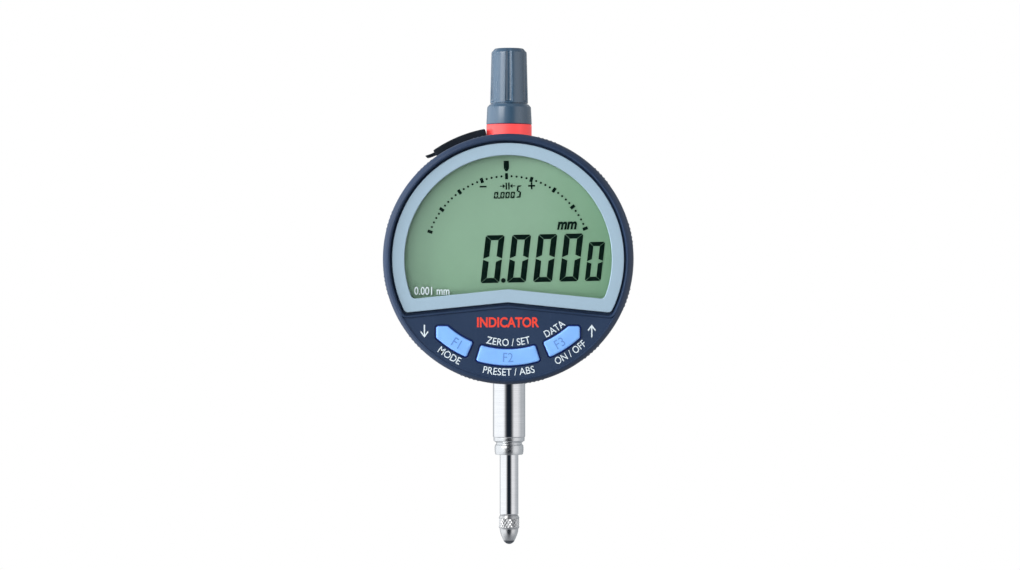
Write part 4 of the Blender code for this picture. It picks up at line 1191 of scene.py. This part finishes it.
def rim_strip(start, end, inner, outer, low, high, edge, count=40, lift=0.0):
    """A strip bent round the rim: its rounded section draws in near each end by the radius
    less the root of its square less the square of what is left of the way, and it may lift
    off the rim by the square of its share of the way."""
    section = rounded([(inner, low), (outer, low), (outer, high), (inner, high)], edge, 5)
    middle = np.array([(inner + outer) / 2, (low + high) / 2])
    span = math.radians(abs(end - start)) * outer
    ends = edge * (1 - np.cos(np.linspace(0, math.pi / 2, 7)))
    way = np.unique(np.concatenate([ends, np.linspace(edge, span - edge, count), span - ends]))
    left = np.minimum(way, span - way)
    draw = edge - np.sqrt(np.maximum(0.0, edge ** 2 - np.maximum(0.0, edge - left) ** 2))
    size = np.abs(section - middle).max(axis=0)
    angle = np.radians(start + (end - start) * way / span)[:, None]
    points = middle + (section - middle)[None] * (1 - draw[:, None, None] / size)
    radius = points[..., 0] + lift * (way[:, None] / span) ** 2
    return loft(np.stack([radius * np.cos(angle), points[..., 1], radius * np.sin(angle)], -1))


class INDICATOR_OT_data_port(bpy.types.Operator):
    """Build the rubber port cover with its pull tab and plug, and the socket's contacts"""
    bl_idname = "indicator.data_port"
    bl_label = "Data port"

    def execute(self, context):
        """The cover and its tab are rounded strips bent round the rim. The contacts are thin
        blocks at an even pitch."""
        low, high = FLAP_LOW[1], FLAP_HIGH[1]
        cover = rim_strip(100.4, 124.9, CASE_R + 0.3, 32.72, low, high, 0.3)
        tab = rim_strip(123.6, 129.0, 31.66, 32.24, low + 1.6, high - 1.6, 0.26, 16, 0.75)
        plug = rim_block(3.2, 0.5, 27.5, 31.0, 0.2)
        anchor = rim_strip(97.9, 101.2, CASE_R + 0.35, CASE_R + 1.3, low + 0.2, high - 0.2, 0.22,
                           10)
        piece("rubber_cover", [cover, tab, plug], "port_flap", finish("black_rubber"),
              ["port_cover"])
        piece("rubber_anchor", [anchor], "case", finish("black_rubber"))
        contacts, pitch = [], 1.27
        along_rim = np.array([-math.sin(PORT_ANGLE), 0.0, math.cos(PORT_ANGLE)])
        for index in range(-2, 3):
            contact = rim_block(0.2, 0.12, 24.4, 28.2, 0.04)
            contacts.append(shifted(contact, *(index * pitch * along_rim + (0.0, -0.5, 0.0))))
        piece("socket_contacts", contacts, "case", finish("gold_plate"))
        return {"FINISHED"}


class INDICATOR_OT_stem(bpy.types.Operator):
    """Build the polished clamping stem with its end groove"""
    bl_idname = "indicator.stem"
    bl_label = "Stem"

    def execute(self, context):
        """Two closed wall profiles turned round z, the polished stem and its satin collar."""
        low, high = STEM_LOW[2], STEM_HIGH[2]
        radius = STEM_HIGH[0]
        seam = low + 4.3
        body = rounded([(3.4, high), (radius, high), (radius, seam + 0.16), (radius - 0.14, seam),
                        (3.4, seam)], (0, 0.2, 0.08, 0.06, 0), 5)
        piece("clamping_stem", [turned(body, 192)], "case", finish("polished_steel"),
              ["stem"])
        collar = rounded([(2.7, seam + 0.02), (radius - 0.15, seam + 0.02), (radius - 0.15, low + 3.4),
                          (3.18, low + 2.95), (3.18, low + 2.6), (3.5, low + 2.3), (3.58, low + 1.7),
                          (3.56, low + 0.7), (3.38, low), (2.6, low), (2.6, seam)],
                         (0, 0.05, 0.25, 0.2, 0.2, 0.2, 0.4, 0.5, 0.15, 0.08, 0), 8)
        piece("stem_collar", [turned(collar, 192)], "case", finish("satin_steel"))
        return {"FINISHED"}


class INDICATOR_OT_spindle(bpy.types.Operator):
    """Build the spindle, the knurled contact point and its ball"""
    bl_idname = "indicator.spindle"
    bl_label = "Spindle and contact point"

    def execute(self, context):
        """The knurl's radius is the collar's less a depth times one less the smaller of two
        triangle waves, which wind round it in opposite senses."""
        settings = context.scene.indicator_spindle
        radius, low, high = SPINDLE_HIGH[0], SPINDLE_LOW[2], SPINDLE_HIGH[2]
        rod = rounded([(1.3, low + 5.5), (1.3, low), (radius - 0.18, low), (radius, low + 0.35),
                       (radius, high - 0.35), (radius - 0.3, high), (0.0, high)],
                      (0, 0, 0.08, 0.2, 0.2, 0.15, 0), 4, closed=False)
        rod = np.concatenate([[(0.0, low + 5.5)], rod])
        piece("sliding_spindle", [turned(rod, 160, ring=False)], "spindle",
              finish("polished_steel"), ["spindle"])
        collar, angle = POINT_HIGH[0], np.arange(520) * TAU / 520
        top, foot = -63.98, -66.32
        height = np.linspace(top, foot, 72)
        turns = settings.knurl_count * angle[None, :] / TAU
        climb = (height[:, None] + 64.0) / 1.1
        waves = [np.abs(2 * ((turns + side * climb) % 1.0) - 1) for side in (-1, 1)]
        fade = smoothstep(height, foot, foot + 0.17) * (1 - smoothstep(height, top - 0.17, top))
        depth = settings.knurl_depth / MM * (1 - np.minimum(*waves)) * fade[:, None]
        knurl = collar - depth
        above = [(0.0, -58.6), (1.1, -58.6), (1.1, -63.33), (2.2, -63.33), (2.3, -63.40),
                 (2.33, -63.60), (2.5, -63.85)]
        below = [(2.5, -66.42), (2.34, -66.60), (2.29, -66.9), (2.22, -67.4), (2.08, -67.95),
                 (1.88, -68.5), (1.64, -69.05), (1.42, -69.5), (1.35, -69.62), (1.05, -69.62),
                 (1.05, -68.3), (0.0, -68.3)]
        above, below = np.array(above), np.array(below)
        rows = [np.broadcast_to(part[:, :1], (len(part), len(angle))) for part in (above, below)]
        reach = np.concatenate([rows[0], knurl, rows[1]])
        level = np.concatenate([above[:, 1], height, below[:, 1]])[:, None]
        loops = swept(reach, level, angle)
        piece("knurled_point", [loft(loops, caps=False)], "spindle", finish("knurled_steel"),
              ["contact_point"], 60.0)
        lowest = BALL_LOW[2]
        tilt = np.linspace(-math.pi / 2, math.radians(-20), 28)
        ball = np.stack([1.5 * np.cos(tilt), lowest + 1.5 + 1.5 * np.sin(tilt)], -1)
        ball[0, 0] = 0.0
        ball = ball[ball[:, 1] < -69.58]
        ball = np.concatenate([ball, [(0.9, ball[-1, 1] + 0.02), (0.9, -68.4), (0.0, -68.4)]])
        piece("hard_ball", [turned(ball, 96, ring=False)], "spindle", finish("carbide"),
              ["contact_ball"])
        return {"FINISHED"}


class INDICATOR_OT_cap(bpy.types.Operator):
    """Build the fluted spindle cap and the red ring under it"""
    bl_idname = "indicator.cap"
    bl_label = "Cap and ring"

    def execute(self, context):
        """Inside a flute the radius is the tool's axis distance times the cosine of the
        angle off the flute, less the root of the tool's radius squared less the square of
        its sine share. Elsewhere it is the profile's."""
        settings = context.scene.indicator_spindle
        low, high = CAP_LOW[2], CAP_HIGH[2]
        edge = CAP_HIGH[0]
        shape = rounded([(4.2, low), (edge, low), (5.42, 37.7), (4.8, 38.36), (4.45, 38.42),
                         (4.45, 38.6), (4.68, 38.66), (4.36, high - 0.95), (3.5, high), (0.0, high)],
                        (0, 0.18, 0.5, 0.12, 0.05, 0.05, 0.05, 0.25, 0.25, 0), 5, closed=False)
        fill = np.stack([np.linspace(4.678, 4.378, 46), np.linspace(38.95, high - 1.3, 46)], -1)
        split = int(np.argmax(shape[:, 1] > 40.0))
        shape = np.concatenate([shape[:split], fill, shape[split:]])
        angle = np.arange(720) * TAU / 720
        spacing = TAU / max(1, settings.flute_count)
        off = (angle - DOWN + spacing / 2) % spacing - spacing / 2
        tool, axis = settings.flute_radius / MM, 5.1
        aside = axis * np.sin(off)
        inside = np.abs(aside) < tool
        cut = np.where(inside, axis * np.cos(off) - np.sqrt(np.maximum(0, tool ** 2 - aside ** 2)),
                       99.0)
        base = shape[:, :1]
        run = smoothstep(shape[:, 1:], 38.6, 39.3)
        deep = np.minimum(base, cut[None, :] + (1 - run) * 1.2)
        radius = np.where(shape[:, 1:] > 38.62, deep, base)
        radius = np.where(base <= 0.0, 0.0, radius)
        inner = np.array([(0.0, 50.6), (3.0, 50.6), (3.0, 37.0), (4.2, 36.6)])
        radius = np.concatenate([np.broadcast_to(inner[:, :1], (4, 720)), radius])
        level = np.concatenate([inner[:, 1:], shape[:, 1:]])
        loops = swept(radius, level, angle)
        piece("fluted_cap", [loft(loops, caps=False)], "cap", finish("cap_grey"),
              ["spindle_cap"], 50.0)
        top = low - 0.08
        ring = rounded([(4.2, RING_LOW[2]), (RING_HIGH[0], RING_LOW[2]), (RING_HIGH[0], top),
                        (4.2, top)], (0.1, 0.2, 0.12, 0.1), 4)
        piece("red_ring", [turned(ring, 144)], "case", finish("signal_red"),
              ["cap_ring"])
        return {"FINISHED"}


class INDICATOR_OT_spring(bpy.types.Operator):
    """Wind the return spring between the case and the spindle's arm"""
    bl_idname = "indicator.spring"
    bl_label = "Return spring"

    def execute(self, context):
        """A round wire carried along a helix: x and y turn with the angle, z climbs with it,
        and at both ends the climb stops so that the end coil lies flat."""
        wire, radius, turns, per_turn, sides = 0.22, 1.4, 9, 40, 12
        x = (SPRING_LOW[0] + SPRING_HIGH[0]) / 2
        low, high = SPRING_LOW[2] + wire, SPRING_HIGH[2] - wire
        share = np.linspace(0, 1, turns * per_turn + 1)
        turn = share * turns * TAU
        climb = smoothstep(share, 0.04, 0.96) * 0.35 + np.clip((share - 0.05) / 0.9, 0, 1) * 0.65
        around = np.arange(sides) * TAU / sides
        reach = radius + wire * np.cos(around)[None, :]
        loops = np.stack([x + reach * np.cos(turn)[:, None], reach * np.sin(turn)[:, None],
                          (low + (high - low) * climb)[:, None] + wire * np.sin(around)[None, :]], -1)
        spring = piece("wound_spring", [loft(loops)], None, finish("spring_steel"),
                       ["return_spring"], 60.0)
        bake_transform(spring)
        return {"FINISHED"}


class INDICATOR_OT_inner_parts(bpy.types.Operator):
    """Give every carried-over part the finish of its material slot"""
    bl_idname = "indicator.inner_parts"
    bl_label = "Inner parts"

    def execute(self, context):
        """Each part that no piece replaces keeps its mesh and takes the finish of its slot."""
        for part in frame["record"]["subparts"]:
            obj = frame["nodes"][part["node"]]
            if obj.hide_render:
                continue
            obj.data.materials.clear()
            obj.data.materials.append(finish(part["material_slot"]))
        return {"FINISHED"}


class INDICATOR_OT_stage(bpy.types.Operator):
    """Set the floor, the soft surroundings, the lights and the camera"""
    bl_idname = "indicator.stage"
    bl_label = "Stage"

    def execute(self, context):
        """The surroundings are white to the left, dimmer to the right and above, and dark in a
        soft round patch in front. Seen directly they are plain white."""
        settings = context.scene.indicator_stage
        scene = context.scene
        level, size = CAD_BOX[0].z - settings.floor_drop, 0.6
        corners = [(-size, -size, level), (size, -size, level), (size, size, level),
                   (-size, size, level)]
        mesh = bpy.data.meshes.new("floor")
        mesh.from_pydata(corners, [], [(0, 1, 2, 3)])
        floor = bpy.data.objects.new("floor", mesh)
        scene.collection.objects.link(floor)
        floor.visible_diffuse = floor.visible_glossy = False
        material, tree, shader, coords = started("pale_floor")
        cloud = noise(tree, coords, 1.5, 2.0)
        tree.links.new(mixed(tree, cloud, (0.86, 0.86, 0.87, 1.0), (0.9, 0.9, 0.9, 1.0)),
                       shader.inputs["Base Color"])
        shader.inputs["Roughness"].default_value = 0.9
        shader.inputs["Specular IOR Level"].default_value = 0.0
        shader.inputs["Emission Color"].default_value = (1.0, 1.0, 1.0, 1.0)
        shader.inputs["Emission Strength"].default_value = 0.7
        mesh.materials.append(material)

        world = bpy.data.worlds.new("soft_surroundings")
        world.use_nodes = True
        scene.world = world
        tree = world.node_tree
        way = node(tree, "ShaderNodeTexCoord").outputs["Generated"]
        axes = node(tree, "ShaderNodeSeparateXYZ", {0: way}).outputs
        tall = maths(tree, "ABSOLUTE", axes[2], 0.0)
        ahead = maths(tree, "SUBTRACT", maths(tree, "MULTIPLY", tall, 0.3), axes[1])
        dark = node(tree, "ShaderNodeMapRange",
                    {"Value": ahead, "From Min": 0.79, "From Max": 1.0},
                    interpolation_type="SMOOTHSTEP").outputs[0]
        left = spread(tree, axes[0], -0.35, -0.75)
        right = maths(tree, "MULTIPLY", spread(tree, axes[0], 0.2, 0.6),
                      spread(tree, axes[1], -0.45, 0.1))
        behind = spread(tree, axes[1], 0.55, 0.95)
        steep = spread(tree, tall, 0.42, 0.75)
        tone = mixed(tree, left, (0.92, 0.93, 0.95, 1.0), (1.16, 1.20, 1.24, 1.0))
        tone = mixed(tree, maths(tree, "MULTIPLY", right, 0.8), tone, (0.42, 0.45, 0.48, 1.0))
        tone = mixed(tree, maths(tree, "MULTIPLY", behind, 0.9), tone, (0.30, 0.33, 0.36, 1.0))
        tone = mixed(tree, maths(tree, "MULTIPLY", steep, 0.85), tone, (0.22, 0.24, 0.27, 1.0))
        tone = mixed(tree, dark, tone, (0.010, 0.016, 0.026, 1.0))
        seen = node(tree, "ShaderNodeLightPath").outputs["Is Camera Ray"]
        tree.links.new(mixed(tree, seen, tone, (1.0, 1.0, 1.0, 1.0)),
                       tree.nodes["Background"].inputs["Color"])
        tree.nodes["Background"].inputs["Strength"].default_value = 1.0
        world.cycles_visibility.transmission = False

        target = Vector((0.0, 0.0, DIAL_Z))
        lights = [("key_light", (-0.80, -0.95, 0.55), 0.8, 6.0, (1.0, 0.99, 0.97)),
                  ("front_light", (-0.22, -1.35, 0.28), 0.7, 7.5, (0.97, 0.99, 1.0)),
                  ("side_light", (-1.3, -0.25, 0.2), 0.6, 22.0, (0.95, 0.98, 1.0)),
                  ("back_light", (0.5, 1.2, 0.5), 0.7, 8.0, (1.0, 1.0, 1.0))]
        for name, place, width, power, colour in lights:
            data = bpy.data.lights.new(name, "AREA")
            data.size = width
            data.energy = power
            data.color = colour
            lamp = bpy.data.objects.new(name, data)
            scene.collection.objects.link(lamp)
            lamp.location = target + Vector(place)
            lamp.rotation_euler = Vector(place).to_track_quat("Z", "Y").to_euler()
            lamp.visible_glossy = name == "key_light"
            lamp.visible_transmission = False

        data = bpy.data.cameras.new("camera")
        data.lens = settings.lens
        data.sensor_width = 36.0
        data.clip_start, data.clip_end = 0.05, 30.0
        camera = bpy.data.objects.new("camera", data)
        scene.collection.objects.link(camera)
        camera.location = (settings.sideways, -settings.distance, settings.height)
        camera.rotation_euler = (math.pi / 2, 0.0, settings.aim)
        scene.camera = camera
        scene.view_settings.view_transform = "Standard"
        return {"FINISHED"}


# Panel and registration ---------------------------------------------------------------


GROUPS = {"indicator_display": DisplaySettings, "indicator_spindle": SpindleSettings,
          "indicator_stage": StageSettings}
STEPS = (INDICATOR_OT_display_shell, INDICATOR_OT_face_plate, INDICATOR_OT_window,
         INDICATOR_OT_figures, INDICATOR_OT_legends, INDICATOR_OT_keys, INDICATOR_OT_case,
         INDICATOR_OT_back, INDICATOR_OT_battery_lid, INDICATOR_OT_data_port, INDICATOR_OT_stem,
         INDICATOR_OT_spindle, INDICATOR_OT_cap, INDICATOR_OT_spring, INDICATOR_OT_inner_parts,
         INDICATOR_OT_stage)


class INDICATOR_PT_panel(bpy.types.Panel):
    """The indicator's settings and steps"""
    bl_idname = "INDICATOR_PT_panel"
    bl_label = "Dial Indicator"
    bl_space_type = "VIEW_3D"
    bl_region_type = "UI"
    bl_category = "Indicator"

    def draw(self, context):
        """Lists the settings of each group and a button for each step."""
        for group in GROUPS:
            box = self.layout.box()
            settings = getattr(context.scene, group)
            for name in settings.bl_rna.properties.keys():
                if name not in ("rna_type", "name"):
                    box.prop(settings, name)
        for step in STEPS:
            self.layout.operator(step.bl_idname)


def register():
    """Registers the settings, the steps and the panel."""
    for name, group in GROUPS.items():
        bpy.utils.register_class(group)
        setattr(bpy.types.Scene, name, PointerProperty(type=group))
    for step in STEPS:
        bpy.utils.register_class(step)
    bpy.utils.register_class(INDICATOR_PT_panel)


def unregister():
    """Takes the panel, the steps and the settings away again."""
    bpy.utils.unregister_class(INDICATOR_PT_panel)
    for step in reversed(STEPS):
        bpy.utils.unregister_class(step)
    for name, group in GROUPS.items():
        delattr(bpy.types.Scene, name)
        bpy.utils.unregister_class(group)


def main():
    """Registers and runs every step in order."""
    register()
    for step in STEPS:
        group, name = step.bl_idname.split(".")
        getattr(getattr(bpy.ops, group), name)()


if __name__ == "__main__":
    main()
